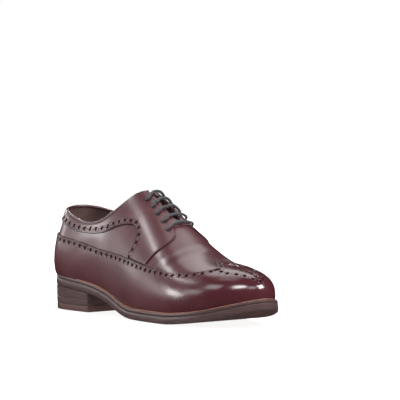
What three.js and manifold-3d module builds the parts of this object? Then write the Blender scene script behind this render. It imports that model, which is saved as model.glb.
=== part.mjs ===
import * as THREE from "three";
import Module from "manifold-3d";

// One longwing brogue derby, the wearer's right shoe.
// Millimetres. X runs from heel to toe, Z up, the outer (lateral) side is -Y.

const wasm = await Module();
wasm.setup();
const { Manifold, Mesh } = wasm;

// Driving sizes
const LENGTH = 300; // back of the sole to its toe
const BALL_WIDTH = 101; // sole across the ball
const INSTEP = 129; // floor to the closed crown of the instep surface
const SEAT = 26.2; // floor to the sole's underside at the back
const SOLE = 7; // outsole thickness
const WELT = 3.6; // welt with the gap under it
const WALL = 2; // upper wall
const GAP = 0.3; // room left between neighbouring pieces
const OVERLAY = 1.5; // outer face of the wing and the facings, off the upper
const HEEL_LENGTH = 75; // back of the heel to its breast
const TOP_LIFT = 6; // lowest layer of the heel
const LIFTS = 3; // layers of the heel above it
const RUBBER_TIP = 26; // length of the rubber corner of the top lift
const INSOLE = 3; // insole over the welt
const THROAT = 9; // opening between the facings
const THROAT_END = 172; // front of the opening
const EYELET = 2.7; // eyelet radius
const LACE = 1.4; // lace radius
const TONGUE = 2; // tongue thickness
const COLUMNS = 60; // facets round the last
const LEVELS = 11; // facets from the feather edge to the crown
const SOLE_BEVEL = 0.9; // bevel round the bottom of the outsole
const SOFTENED = 0.5; // bevel of the welt and of the heel's layers
const WELT_WIDTH = 10; // width of the welt's strip
const HEEL_INSET = 0.4; // heel's side in from the sole's edge
const HEEL_TAPER = 0.7; // further inset of the heel at the floor
const GROOVE = 0.3; // depth of the grooves between the heel's layers
const TIP_POINT = 2; // rubber corner's point, in front of its length
const TIP_SLANT = 8; // how far the rubber corner's cut slants back to each side
const PIN = 24; // length of the pins that bore the eyelets
const CROSSING = 3; // how far the medial eyelets sit behind the lateral ones
const BEND = 2.7; // length of the lace's turn at an eyelet
const SLACK = 0.2; // room between the lace and the leather it lies on
const CUTTER = 100; // reach of the cutting prisms past the heel
const SKIRT = 6; // reach of the cutting bodies below the feather edge
const TONGUE_DROP = 1.5; // tongue's top under the tops of the facings
const TONGUE_RISE = 1.8; // how far the tongue rises in the middle of the opening
const TONGUE_REACH = 0.42; // tongue's half width, share of the way from the crown to the feather edge

// Last, one row per section from heel to toe.
// x: share of LENGTH. lateral, medial: sole edge, shares of BALL_WIDTH.
// crownX: share of LENGTH. crownZ: share of INSTEP. lean: degrees outward at the feather edge.
// rise: how far the wall keeps that lean. outer, inner: fullness under the crown on each side.
const SECTIONS = table("x lateral medial crownX crownZ lean rise outer inner", [
  [0, 0, 0, 0.113, 1.012, 17, 0.3, 0.62, 0.62],
  [0.022, -0.232, 0.222, 0.123, 1.02, 17, 0.3, 0.62, 0.62],
  [0.078, -0.358, 0.345, 0.15, 1.035, 15, 0.32, 0.62, 0.62],
  [0.153, -0.384, 0.37, 0.193, 1.06, 10, 0.34, 0.66, 0.66],
  [0.24, -0.376, 0.355, 0.25, 1.075, 6, 0.36, 0.68, 0.68],
  [0.333, -0.376, 0.312, 0.32, 1.06, 4, 0.38, 0.58, 0.62],
  [0.433, -0.421, 0.307, 0.39, 1.008, 4, 0.4, 0.47, 0.6],
  [0.533, -0.475, 0.366, 0.463, 0.908, 6, 0.42, 0.42, 0.63],
  [0.633, -0.505, 0.446, 0.54, 0.783, 8, 0.46, 0.43, 0.66],
  [0.727, -0.505, 0.495, 0.627, 0.642, 10, 0.52, 0.48, 0.69],
  [0.81, -0.465, 0.5, 0.71, 0.527, 11, 0.58, 0.56, 0.72],
  [0.883, -0.381, 0.46, 0.783, 0.469, 12, 0.62, 0.64, 0.72],
  [0.943, -0.248, 0.381, 0.84, 0.441, 12, 0.64, 0.68, 0.72],
  [0.983, -0.089, 0.252, 0.877, 0.424, 11, 0.64, 0.7, 0.72],
  [1, 0.079, 0.079, 0.893, 0.414, 10, 0.64, 0.71, 0.71],
]);

// Underside of the sole. x: share of LENGTH. z: share of SEAT.
const UNDERSIDE = [
  { x: 0, z: 1 },
  { x: 0.1, z: 0.916 },
  { x: 0.24, z: 0.756 },
  { x: 0.3, z: 0.634 },
  { x: 0.35, z: 0.49 },
  { x: 0.4, z: 0.32 },
  { x: 0.433, z: 0.2 },
  { x: 0.467, z: 0.1 },
  { x: 0.5, z: 0.035 },
  { x: 0.533, z: 0.008 },
  { x: 0.61, z: 0 },
  { x: 0.71, z: 0 },
  { x: 0.8, z: 0.08 },
  { x: 0.867, z: 0.2 },
  { x: 0.933, z: 0.4 },
  { x: 1, z: 0.66 },
];

// Crown line seen from above. x: share of LENGTH. y: share of BALL_WIDTH.
const CROWN_LINE = [
  { x: 0, y: 0 },
  { x: 0.3, y: 0.025 },
  { x: 0.45, y: 0.055 },
  { x: 0.6, y: 0.05 },
  { x: 0.78, y: 0.035 },
  { x: 0.9, y: 0.079 },
];

// Welt left showing outside the upper. x: share of LENGTH. out: millimetres.
const LEDGE = [
  { x: 0, out: 0.6 },
  { x: 0.133, out: 1.8 },
  { x: 0.24, out: 3.6 },
  { x: 0.367, out: 5.2 },
  { x: 0.5, out: 5.8 },
  { x: 0.9, out: 5.4 },
  { x: 1, out: 4.8 },
];

// Edges seen from the side. x, z: shares of LENGTH.
const TOPLINE = [
  { x: -0.1, z: 0.355 },
  { x: 0.017, z: 0.355 },
  { x: 0.047, z: 0.346 },
  { x: 0.08, z: 0.336 },
  { x: 0.12, z: 0.326 },
  { x: 0.173, z: 0.312 },
  { x: 0.217, z: 0.303 },
  { x: 0.257, z: 0.306 },
  { x: 0.297, z: 0.321 },
  { x: 0.32, z: 0.337 },
  { x: 0.342, z: 0.353 },
  { x: 0.367, z: 0.375 },
  { x: 0.388, z: 0.395 },
  { x: 0.403, z: 0.408 },
  { x: 0.433, z: 0.418 },
];
const COLLAR_EDGE = [
  { x: -0.1, z: 0.304 },
  { x: 0.053, z: 0.3 },
  { x: 0.1, z: 0.289 },
  { x: 0.143, z: 0.277 },
  { x: 0.19, z: 0.267 },
  { x: 0.247, z: 0.264 },
  { x: 0.3, z: 0.27 },
  { x: 0.333, z: 0.28 },
  { x: 0.358, z: 0.29 },
  { x: 0.382, z: 0.297 },
  { x: 0.41, z: 0.302 },
  { x: 0.438, z: 0.302 },
  { x: 0.457, z: 0.297 },
  { x: 0.468, z: 0.288 },
  { x: 0.478, z: 0.273 },
  { x: 0.48, z: 0.253 },
  { x: 0.473, z: 0.233 },
  { x: 0.463, z: 0.213 },
  { x: 0.45, z: 0.17 },
];
const FACING_FRONT = [
  { x: 0.56, z: 0.15 },
  { x: 0.584, z: 0.19 },
  { x: 0.597, z: 0.207 },
  { x: 0.611, z: 0.226 },
  { x: 0.623, z: 0.243 },
  { x: 0.629, z: 0.256 },
  { x: 0.624, z: 0.268 },
  { x: 0.608, z: 0.282 },
  { x: 0.585, z: 0.301 },
];
const WING_EDGE = [
  { x: -0.1, z: 0.266 },
  { x: 0.053, z: 0.256 },
  { x: 0.1, z: 0.249 },
  { x: 0.161, z: 0.242 },
  { x: 0.204, z: 0.235 },
  { x: 0.252, z: 0.225 },
  { x: 0.305, z: 0.215 },
  { x: 0.36, z: 0.209 },
  { x: 0.425, z: 0.201 },
  { x: 0.528, z: 0.186 },
  { x: 0.59, z: 0.178 },
  { x: 0.655, z: 0.171 },
  { x: 0.717, z: 0.165 },
  { x: 0.766, z: 0.165 },
  { x: 0.81, z: 0.171 },
  { x: 0.833, z: 0.177 },
  { x: 0.853, z: 0.187 },
  { x: 0.873, z: 0.2 },
  { x: 1.1, z: 0.2 },
];

// Peak of the wing tip seen from above, lateral half then medial half.
// x: share of LENGTH. y: share of BALL_WIDTH.
const WING_PEAK = [
  { x: 0.86, y: -0.6 },
  { x: 0.857, y: -0.2 },
  { x: 0.85, y: -0.15 },
  { x: 0.827, y: -0.1 },
  { x: 0.8, y: -0.04 },
  { x: 0.777, y: 0.02 },
  { x: 0.8, y: 0.085 },
  { x: 0.827, y: 0.15 },
  { x: 0.85, y: 0.215 },
  { x: 0.857, y: 0.27 },
  { x: 0.86, y: 0.6 },
];

// Eyelets, one row per pair. x: share of LENGTH. lateral, medial: distance from the crown line.
const EYELETS = [
  { x: 0.449, lateral: 12.5, medial: 12.5 },
  { x: 0.482, lateral: 13.2, medial: 12.5 },
  { x: 0.514, lateral: 14.5, medial: 13 },
  { x: 0.549, lateral: 16, medial: 13.5 },
  { x: 0.582, lateral: 18, medial: 14.5 },
];

const HALF = SECTIONS.length - 1;
const ROUND = 2 * HALF;

// Whole numbers from 0, as many as asked for
function upTo(count) {
  return [...Array(count).keys()];
}

// Rows of numbers as records with named columns
function table(names, rows) {
  const keys = names.split(" ");
  return rows.map((row) => Object.fromEntries(keys.map((key, i) => [key, row[i]])));
}

// Smooth curve through the rows of a table that never swings past them
function through(rows, key) {
  const step = rows.map((row, i) => (i ? (row[key] - rows[i - 1][key]) / (row.x - rows[i - 1].x) : 0));
  const slope = rows.map((row, i) => {
    if (i === 0) return step[1];
    if (i === rows.length - 1) return step[i];
    const product = step[i] * step[i + 1];
    return product > 0 ? (2 * product) / (step[i] + step[i + 1]) : 0;
  });
  return (x) => {
    if (x <= rows[0].x) return rows[0][key];
    if (x >= rows[rows.length - 1].x) return rows[rows.length - 1][key];
    const i = rows.findIndex((row) => row.x > x) - 1;
    const width = rows[i + 1].x - rows[i].x;
    const s = (x - rows[i].x) / width;
    const start = (1 + 2 * s) * (1 - s) ** 2 * rows[i][key];
    const end = (3 - 2 * s) * s * s * rows[i + 1][key];
    const leave = s * (1 - s) ** 2 * slope[i] * width;
    const arrive = s * s * (1 - s) * slope[i + 1] * width;
    return start + end + leave - arrive;
  };
}

// Smooth closed curve through evenly spaced values
function closedCurve(values) {
  const count = values.length;
  const weight = values.slice();
  for (let pass = 0; pass < 60; pass += 1) {
    for (let i = 0; i < count; i += 1) {
      const neighbours = weight[(i + count - 1) % count] + weight[(i + 1) % count];
      weight[i] = (6 * values[i] - neighbours) / 4;
    }
  }
  return (t) => {
    const cell = Math.floor(t);
    const s = t - cell;
    const near = [-1, 0, 1, 2].map((k) => weight[(((cell + k) % count) + count) % count]);
    const middle = (r) => 3 * r ** 3 - 6 * r * r + 4;
    const shares = [(1 - s) ** 3, middle(s), middle(1 - s), s ** 3];
    return near.reduce((sum, value, k) => sum + (value * shares[k]) / 6, 0);
  };
}

// Values of one column, heel to toe down the lateral side and back up the medial side
function aroundLast(lateralOf, medialOf) {
  const out = SECTIONS.map(lateralOf);
  const back = SECTIONS.slice(1, HALF).reverse().map(medialOf);
  return closedCurve(out.concat(back));
}

const edgeX = aroundLast((s) => s.x * LENGTH, (s) => s.x * LENGTH);
const edgeY = aroundLast((s) => s.lateral * BALL_WIDTH, (s) => s.medial * BALL_WIDTH);
const crownX = aroundLast((s) => s.crownX * LENGTH, (s) => s.crownX * LENGTH);
const crownZ = aroundLast((s) => s.crownZ * INSTEP, (s) => s.crownZ * INSTEP);
const leanOf = aroundLast((s) => s.lean, (s) => s.lean);
const riseOf = aroundLast((s) => s.rise, (s) => s.rise);
const fullness = aroundLast((s) => s.outer, (s) => s.inner);
const undersideShare = through(UNDERSIDE, "z");
const crownLineShare = through(CROWN_LINE, "y");
const ledgeOf = through(LEDGE, "out");

const underside = (x) => SEAT * undersideShare(x / LENGTH);
const featherHeight = (x) => underside(x) + SOLE + WELT + GAP;
const crownLine = (x) => BALL_WIDTH * crownLineShare(x / LENGTH);

// Outline of the sole, moved inward by a distance
function outline(t, inset) {
  const e = 0.01;
  const dx = edgeX(t + e) - edgeX(t - e);
  const dy = edgeY(t + e) - edgeY(t - e);
  const size = Math.hypot(dx, dy);
  const out = new THREE.Vector2(dy / size, -dx / size);
  return { at: new THREE.Vector2(edgeX(t), edgeY(t)).addScaledVector(out, -inset), out };
}

// Point of the last at t round the feather edge and v from that edge up to the crown
function lastPoint(t, v) {
  const x = edgeX(t);
  const { at, out } = outline(t, ledgeOf(x / LENGTH));
  const foot = new THREE.Vector3(at.x, at.y, featherHeight(at.x));
  const top = new THREE.Vector3(crownX(t), crownLine(crownX(t)), crownZ(t));
  const climb = riseOf(t) * (top.z - foot.z);
  const flare = Math.tan((leanOf(t) * Math.PI) / 180) * climb;
  const wallHandle = new THREE.Vector3(foot.x + out.x * flare, foot.y + out.y * flare, foot.z + climb);
  const fall = Math.hypot(foot.x - top.x, foot.y - top.y);
  const side = new THREE.Vector2((foot.x - top.x) / fall, (foot.y - top.y) / fall);
  const mirrored = t > HALF ? ROUND - t : t;
  const run = 0.05;
  const before = Math.max(mirrored - run, 0);
  const after = Math.min(mirrored + run, HALF);
  const crownSlope = (crownZ(after) - crownZ(before)) / Math.max(crownX(after) - crownX(before), 0.001);
  const spread = fullness(t) * fall;
  const lift = crownSlope * side.x * spread;
  const crownHandle = new THREE.Vector3(top.x + side.x * spread, top.y + side.y * spread, top.z + lift);
  return new THREE.CubicBezierCurve3(foot, wallHandle, crownHandle, top).getPoint(v);
}

// Outward normal of the last
function lastNormal(t, v) {
  const e = 0.004;
  const low = Math.max(v - e, 0);
  const high = Math.min(v + e, 1);
  const along = (at, level) => {
    const ahead = lastPoint((at + e) % ROUND, level);
    return ahead.sub(lastPoint((at - e + ROUND) % ROUND, level));
  };
  const up = (at) => lastPoint(at, high).sub(lastPoint(at, low));
  const level = Math.min(v, 1 - e);
  const normal = along(t, level).cross(up(t)).normalize();
  if (v < 1) return normal;
  const mirrored = (ROUND - t) % ROUND;
  return normal.add(along(mirrored, level).cross(up(mirrored)).normalize()).normalize();
}

// Point a distance outside the last, its lowest row held just above the welt
function shellPoint(t, v, distance) {
  const moved = lastPoint(t, v).addScaledVector(lastNormal(t, v), distance);
  if (v === 0) moved.z = featherHeight(moved.x);
  return moved;
}

function solid(points, faces) {
  const mesh = new Mesh({
    numProp: 3,
    vertProperties: new Float32Array(points.flatMap((p) => [p.x, p.y, p.z])),
    triVerts: new Uint32Array(faces.flat()),
  });
  mesh.merge();
  return new Manifold(mesh);
}

// Stack of closed rings, each an array of points, with the first and last ring capped across
function loft(rings) {
  const count = rings[0].length;
  const faces = [];
  const at = (ring, i) => ring * count + ((i + count) % count);
  for (let ring = 0; ring + 1 < rings.length; ring += 1) {
    for (let i = 0; i < count; i += 1) {
      faces.push([at(ring, i), at(ring, i + 1), at(ring + 1, i + 1)]);
      faces.push([at(ring, i), at(ring + 1, i + 1), at(ring + 1, i)]);
    }
  }
  const last = rings.length - 1;
  for (let i = 0; i < count / 2; i += 1) {
    const corners = [i, i + 1, count - i - 1, count - i];
    const cap = (ring) => corners.map((k) => at(ring, k));
    const [a, b, c, d] = cap(0);
    const [p, q, r, s] = cap(last);
    if (i + 1 < count / 2) faces.push([a, c, b], [p, q, r]);
    if (i > 0) faces.push([a, d, c], [p, r, s]);
  }
  return solid(rings.flat(), faces);
}

// Closed body under the surface a distance off the last, carried down by a skirt
function lastBody(distance, skirt) {
  const rings = [];
  const columns = upTo(COLUMNS).map((i) => (i * ROUND) / COLUMNS);
  if (skirt > 0) {
    rings.push(columns.map((t) => shellPoint(t, 0, distance).sub(new THREE.Vector3(0, 0, skirt))));
  }
  for (let level = 0; level < LEVELS; level += 1) {
    rings.push(columns.map((t) => shellPoint(t, level / LEVELS, distance)));
  }
  const count = COLUMNS;
  const points = rings.flat();
  const crownStart = points.length;
  for (let i = 0; i <= count / 2; i += 1) points.push(shellPoint(columns[i], 1, distance));
  const faces = [];
  const top = (i) => crownStart + (i <= count / 2 ? i : count - i);
  const at = (ring, i) => (ring === rings.length ? top(i % count) : ring * count + (i % count));
  for (let ring = 0; ring < rings.length; ring += 1) {
    for (let i = 0; i < count; i += 1) {
      faces.push([at(ring, i), at(ring, i + 1), at(ring + 1, i + 1)]);
      faces.push([at(ring, i), at(ring + 1, i + 1), at(ring + 1, i)]);
    }
  }
  for (let i = 0; i < count / 2; i += 1) {
    const [a, b, c, d] = [i, i + 1, count - i - 1, (count - i) % count];
    if (i + 1 < count / 2) faces.push([a, c, b]);
    if (i > 0) faces.push([a, d, c]);
  }
  return solid(points, faces);
}

function cornersOf(geometry) {
  const position = geometry.getAttribute("position");
  return upTo(position.count).map((i) => new THREE.Vector3().fromBufferAttribute(position, i));
}

// Prism whose section lies in the side view, or in the plan view
function prism(corners, view) {
  const shape = new THREE.Shape(corners.map((p) => new THREE.Vector2(p[0], p[1])));
  const geometry = new THREE.ExtrudeGeometry(shape, { depth: 2 * LENGTH, bevelEnabled: false });
  geometry.translate(0, 0, -LENGTH);
  if (view === "side") geometry.rotateX(Math.PI / 2);
  const points = cornersOf(geometry);
  const faces = upTo(points.length / 3).map((i) => [3 * i, 3 * i + 1, 3 * i + 2]);
  return solid(points, faces);
}

const sideRow = (row) => [row.x * LENGTH, row.z * LENGTH];

// Everything above the collar and the tops of the facings
function aboveTopline(drop) {
  const edge = TOPLINE.map(sideRow).map(([x, z]) => [x, z - drop]);
  const [back, front] = [-0.1 * LENGTH, 0.45 * LENGTH];
  return prism([...edge, [front, front], [front, LENGTH], [back, LENGTH]], "side");
}

// Everything under the wing's edge and in front of its peak
function wingSpace(raise) {
  const edge = WING_EDGE.map(sideRow).map(([x, z]) => [x, z + raise]);
  const low = prism([[-0.1 * LENGTH, -LENGTH], [1.1 * LENGTH, -LENGTH], ...edge.reverse()], "side");
  const peak = WING_PEAK.map((row) => [row.x * LENGTH - raise, row.y * BALL_WIDTH]);
  const [front, side] = [1.1 * LENGTH, 0.6 * BALL_WIDTH];
  return low.add(prism([...peak.reverse(), [front, -side], [front, side]], "plan"));
}

// Collar, arch and facings seen from the side
function facingSpace() {
  const edge = COLLAR_EDGE.map(sideRow);
  const front = FACING_FRONT.map(sideRow);
  const crown = [[front[front.length - 1][0], LENGTH], [-0.1 * LENGTH, LENGTH]];
  return prism([...edge, ...front, ...crown], "side");
}

// Slot between the facings, along the crown line
function throatSpace() {
  const stations = [0.2, 0.3, 0.4, 0.45, 0.5, 0.54].map((share) => share * LENGTH);
  const lateral = stations.map((x) => [x, crownLine(x) - THROAT / 2]);
  const medial = stations.map((x) => [x, crownLine(x) + THROAT / 2]).reverse();
  return prism([...lateral, [THROAT_END, crownLine(THROAT_END)], ...medial], "plan");
}

// Place on the last straight under a plan position, found by stepping round and up
function placeAt(x, y) {
  let best = { miss: Infinity };
  const medial = y > crownLine(x);
  for (let i = 0; i <= 160; i += 1) {
    const t = medial ? ROUND - (HALF * i) / 160 : (HALF * i) / 160;
    for (let level = 40; level <= 80; level += 1) {
      const point = lastPoint(t % ROUND, level / 80);
      const miss = Math.hypot(point.x - x, point.y - y);
      if (miss < best.miss) best = { miss, t: t % ROUND, v: level / 80 };
    }
  }
  const normal = lastNormal(best.t, best.v);
  return { point: lastPoint(best.t, best.v), normal };
}

function eyeletPlaces() {
  return EYELETS.map((row) => {
    const x = row.x * LENGTH;
    return {
      lateral: placeAt(x, crownLine(x) - row.lateral),
      medial: placeAt(x - CROSSING, crownLine(x) + row.medial),
    };
  });
}

// Round pin through one eyelet
function eyeletPin(place) {
  const geometry = new THREE.CylinderGeometry(EYELET, EYELET, PIN, 12);
  const turn = new THREE.Quaternion().setFromUnitVectors(new THREE.Vector3(0, 1, 0), place.normal);
  geometry.applyQuaternion(turn);
  geometry.translate(place.point.x, place.point.y, place.point.z);
  const index = geometry.getIndex().array;
  const faces = upTo(index.length / 3).map((i) => [index[3 * i], index[3 * i + 1], index[3 * i + 2]]);
  return solid(cornersOf(geometry), faces);
}

// Ring of the sole's outline at one height above its underside
function soleRing(inset, height) {
  return upTo(COLUMNS).map((i) => {
    const { at } = outline((i * ROUND) / COLUMNS, inset);
    return new THREE.Vector3(at.x, at.y, underside(at.x) + height);
  });
}

function outsole() {
  return loft([
    soleRing(SOLE_BEVEL, 0),
    soleRing(SOLE_BEVEL / 4, SOLE_BEVEL),
    soleRing(0, SOLE / 2),
    soleRing(SOLE_BEVEL / 4, SOLE - SOLE_BEVEL / 2),
    soleRing(SOLE_BEVEL * 0.75, SOLE),
  ]);
}

function welt() {
  const low = SOLE + GAP;
  const high = SOLE + WELT;
  const body = loft([
    soleRing(2 * SOFTENED, low),
    soleRing(SOFTENED, low + SOFTENED),
    soleRing(SOFTENED, high - SOFTENED),
    soleRing(2 * SOFTENED, high),
  ]);
  const hole = loft([soleRing(WELT_WIDTH, low - SOFTENED), soleRing(WELT_WIDTH, high + SOFTENED)]);
  return body.subtract(hole);
}

// Ring of the heel, inset more toward the floor
function heelRing(height, groove) {
  const taper = HEEL_TAPER * (1 - height / SEAT);
  return upTo(COLUMNS).map((i) => {
    const { at } = outline((i * ROUND) / COLUMNS, HEEL_INSET + taper + groove);
    return new THREE.Vector3(at.x, at.y, height);
  });
}

// Everything behind the breast of the heel
function breastCut() {
  const corners = [[-CUTTER, -CUTTER], [HEEL_LENGTH, -CUTTER], [HEEL_LENGTH, CUTTER], [-CUTTER, CUTTER]];
  return prism(corners, "side");
}

// Leather lifts, each with a shallow groove under it, cut to the sole's underside
function heelStack() {
  const lift = (SEAT - TOP_LIFT) / LIFTS;
  const rings = [heelRing(TOP_LIFT + GAP, GROOVE)];
  for (let i = 0; i < LIFTS; i += 1) {
    const floor = TOP_LIFT + GAP + i * lift;
    rings.push(heelRing(floor + GROOVE, 0));
    rings.push(heelRing(floor + lift - GROOVE, 0));
    rings.push(heelRing(floor + lift, GROOVE));
  }
  const stations = [0, 0.05, 0.1, 0.15, 0.2, 0.25, 0.3].map((share) => share * LENGTH);
  const under = stations.map((x) => [x, underside(x) - GAP]);
  const [front] = under[under.length - 1];
  const corners = [[-CUTTER, -CUTTER], [front, -CUTTER], ...under.reverse(), [-CUTTER, SEAT - GAP]];
  return loft(rings).intersect(prism(corners, "side")).intersect(breastCut());
}

// Lowest layer of the heel, split by a slanting cut into leather and a rubber corner
function topLift(rubber) {
  const whole = loft([
    heelRing(0, SOFTENED),
    heelRing(SOFTENED, 0),
    heelRing(TOP_LIFT - GROOVE, 0),
    heelRing(TOP_LIFT, GROOVE),
  ]);
  const point = RUBBER_TIP + TIP_POINT + (rubber ? -GAP / 2 : GAP / 2);
  const wings = point - TIP_SLANT;
  const far = rubber ? -CUTTER : LENGTH;
  const corners = [[far, -CUTTER], [wings, -CUTTER], [point, 0], [wings, CUTTER], [far, CUTTER]];
  const side = prism(rubber ? corners : corners.reverse(), "plan");
  return whole.intersect(side).intersect(breastCut());
}

// Insole over the welt with the filling under it
function insole() {
  const base = SOLE + GAP;
  const shelf = SOLE + WELT + GAP;
  const wide = (height) =>
    upTo(COLUMNS).map((i) => {
      const point = shellPoint((i * ROUND) / COLUMNS, 0, -WALL - GAP);
      return new THREE.Vector3(point.x, point.y, underside(point.x) + height);
    });
  const inside = WELT_WIDTH + GAP;
  return loft([soleRing(inside, base), soleRing(inside, shelf), wide(shelf), wide(shelf + INSOLE)]);
}

function upper(pins) {
  const shell = lastBody(0, 0).subtract(lastBody(-WALL, SKIRT));
  const open = shell.subtract(aboveTopline(0)).subtract(throatSpace());
  return pins.reduce((body, pin) => body.subtract(pin), open);
}

const overlayShell = () => lastBody(OVERLAY, 0).subtract(lastBody(GAP, SKIRT));

function wing() {
  return overlayShell().intersect(wingSpace(0));
}

function facings(pins) {
  const cut = overlayShell().intersect(facingSpace()).subtract(wingSpace(GAP)).subtract(aboveTopline(0));
  return pins.reduce((body, pin) => body.subtract(pin), cut.subtract(throatSpace()));
}

// Tongue under the facings, set lower where the lace runs behind them
function tongue() {
  const along = 14;
  const across = 16;
  const start = 5.3;
  const end = 9.5;
  const lowered = WALL + GAP + 2 * (LACE + SLACK) + GAP;
  const sheet = (extra) => {
    const points = [];
    for (let i = 0; i <= along; i += 1) {
      const s = start + ((end - start) * i) / along;
      const blend = THREE.MathUtils.smoothstep(s, 8.7, 9.4);
      for (let j = 0; j <= across; j += 1) {
        const u = (2 * j) / across - 1;
        const t = u < 0 ? s : ROUND - s;
        const rise = TONGUE_RISE * (1 - THREE.MathUtils.smoothstep(Math.abs(u), 0.1, 0.42));
        const depth = THREE.MathUtils.lerp(lowered - rise, WALL + GAP, blend);
        points.push(shellPoint(t, 1 - Math.abs(u) * TONGUE_REACH, -depth - extra));
      }
    }
    return points;
  };
  const outer = sheet(0);
  const count = outer.length;
  const wide = across + 1;
  const faces = [];
  const quad = (a, b, c, d) => faces.push([a, b, c], [a, c, d]);
  for (let i = 0; i < along; i += 1) {
    for (let j = 0; j < across; j += 1) {
      const a = i * wide + j;
      quad(a, a + wide, a + wide + 1, a + 1);
      quad(a + count, a + 1 + count, a + wide + 1 + count, a + wide + count);
    }
    const left = i * wide;
    const right = left + across;
    quad(left, left + count, left + wide + count, left + wide);
    quad(right, right + wide, right + wide + count, right + count);
  }
  for (let j = 0; j < across; j += 1) {
    const front = along * wide + j;
    quad(j, j + 1, j + 1 + count, j + count);
    quad(front, front + count, front + 1 + count, front + 1);
  }
  return solid([...outer, ...sheet(TONGUE)], faces).subtract(aboveTopline(TONGUE_DROP));
}

// Points of the lace: five straight bars joined behind the facings, first on one side then the other
function lacePath(places) {
  const over = OVERLAY + GAP + LACE + SLACK;
  const under = -WALL - GAP - LACE - SLACK;
  const path = [];
  const add = (place, height, toward, shift) => {
    const flat = toward.clone().addScaledVector(place.normal, -toward.dot(place.normal)).normalize();
    const point = place.point.clone().addScaledVector(place.normal, height);
    path.push(point.addScaledVector(flat, shift));
  };
  const toward = (from, to) => to.point.clone().sub(from.point).normalize();
  places.forEach((pair, i) => {
    const forward = i % 2 === 0;
    const from = forward ? pair.lateral : pair.medial;
    const to = forward ? pair.medial : pair.lateral;
    const last = places[i - 1];
    const next = places[i + 1];
    const across = toward(from, to);
    if (last) add(from, under, toward(from, forward ? last.lateral : last.medial), BEND);
    add(from, -WALL, across, 0);
    add(from, OVERLAY, across, 0);
    add(from, over, across, BEND);
    for (const share of [0.22, 0.36, 0.5, 0.64, 0.78, 0.87]) {
      const spot = from.point.clone().lerp(to.point, share);
      add(placeAt(spot.x, spot.y), over, across, 0);
    }
    add(to, over, across, -BEND);
    add(to, OVERLAY, across, 0);
    add(to, -WALL, across, 0);
    if (next) add(to, under, toward(to, forward ? next.medial : next.lateral), BEND);
  });
  return path;
}

function lace(places) {
  const sides = 7;
  const curve = new THREE.CatmullRomCurve3(lacePath(places), false, "centripetal");
  const steps = 130;
  const frames = curve.computeFrenetFrames(steps, false);
  const points = [];
  for (let i = 0; i <= steps; i += 1) {
    const centre = curve.getPointAt(i / steps);
    for (let k = 0; k < sides; k += 1) {
      const angle = (2 * Math.PI * k) / sides;
      const offset = frames.normals[i].clone().multiplyScalar(Math.cos(angle) * LACE);
      points.push(centre.clone().add(offset).addScaledVector(frames.binormals[i], Math.sin(angle) * LACE));
    }
  }
  const faces = [];
  for (let i = 0; i < steps; i += 1) {
    for (let k = 0; k < sides; k += 1) {
      const a = i * sides + k;
      const b = i * sides + ((k + 1) % sides);
      faces.push([a, b, b + sides], [a, b + sides, a + sides]);
    }
  }
  const end = steps * sides;
  for (let k = 1; k + 1 < sides; k += 1) {
    faces.push([0, k + 1, k], [end, end + k, end + k + 1]);
  }
  return solid(points, faces);
}

function toMesh(name, body, colour, roughness) {
  const data = body.getMesh();
  const geometry = new THREE.BufferGeometry();
  geometry.setAttribute("position", new THREE.BufferAttribute(Float32Array.from(data.vertProperties), 3));
  geometry.setIndex(new THREE.BufferAttribute(Uint32Array.from(data.triVerts), 1));
  geometry.computeVertexNormals();
  const material = new THREE.MeshStandardMaterial({ color: colour, roughness });
  const mesh = new THREE.Mesh(geometry, material);
  mesh.name = name;
  return mesh;
}

const places = eyeletPlaces();
const pins = places.flatMap((pair) => [eyeletPin(pair.lateral), eyeletPin(pair.medial)]);

const shoe = new THREE.Group();
shoe.name = "longwing_brogue";
shoe.add(
  toMesh("outsole", outsole(), "#4a3a36", 0.5),
  toMesh("welt", welt(), "#5a4640", 0.5),
  toMesh("heel_stack", heelStack(), "#4a3a36", 0.5),
  toMesh("top_lift", topLift(false), "#55372c", 0.6),
  toMesh("top_lift_rubber", topLift(true), "#222020", 0.9),
  toMesh("insole", insole(), "#8a6a52", 0.8),
  toMesh("upper", upper(pins), "#4e1f22", 0.3),
  toMesh("wing", wing(), "#47191d", 0.25),
  toMesh("facings", facings(pins), "#4e1f22", 0.3),
  toMesh("tongue", tongue(), "#3e1a1c", 0.5),
  toMesh("lace", lace(places), "#26242a", 0.9),
);

const box = new THREE.Box3().setFromObject(shoe);
const centre = box.getCenter(new THREE.Vector3());
for (const mesh of shoe.children) mesh.geometry.translate(-centre.x, -centre.y, -box.min.z);

export default shoe;
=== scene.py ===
import math

import bmesh
import bpy
import numpy as np
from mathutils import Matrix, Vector
from mathutils.kdtree import KDTree


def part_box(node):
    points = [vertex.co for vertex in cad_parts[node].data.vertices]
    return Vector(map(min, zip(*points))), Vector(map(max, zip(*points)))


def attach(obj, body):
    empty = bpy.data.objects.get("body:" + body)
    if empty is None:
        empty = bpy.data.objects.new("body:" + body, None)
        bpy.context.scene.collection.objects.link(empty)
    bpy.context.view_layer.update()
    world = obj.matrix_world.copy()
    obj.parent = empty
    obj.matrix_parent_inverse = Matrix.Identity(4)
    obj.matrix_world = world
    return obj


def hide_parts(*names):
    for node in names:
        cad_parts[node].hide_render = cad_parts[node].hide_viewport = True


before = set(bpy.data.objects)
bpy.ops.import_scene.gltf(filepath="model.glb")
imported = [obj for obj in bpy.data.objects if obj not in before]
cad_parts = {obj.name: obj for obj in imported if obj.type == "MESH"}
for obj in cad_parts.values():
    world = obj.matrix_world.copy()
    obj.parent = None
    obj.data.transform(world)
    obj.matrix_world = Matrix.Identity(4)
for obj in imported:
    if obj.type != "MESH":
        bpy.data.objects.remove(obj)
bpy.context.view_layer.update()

# Driving sizes, the same as the CAD's, in metres
LENGTH = 0.300  # back of the sole to its toe
BALL_WIDTH = 0.101  # sole across the ball
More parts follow.
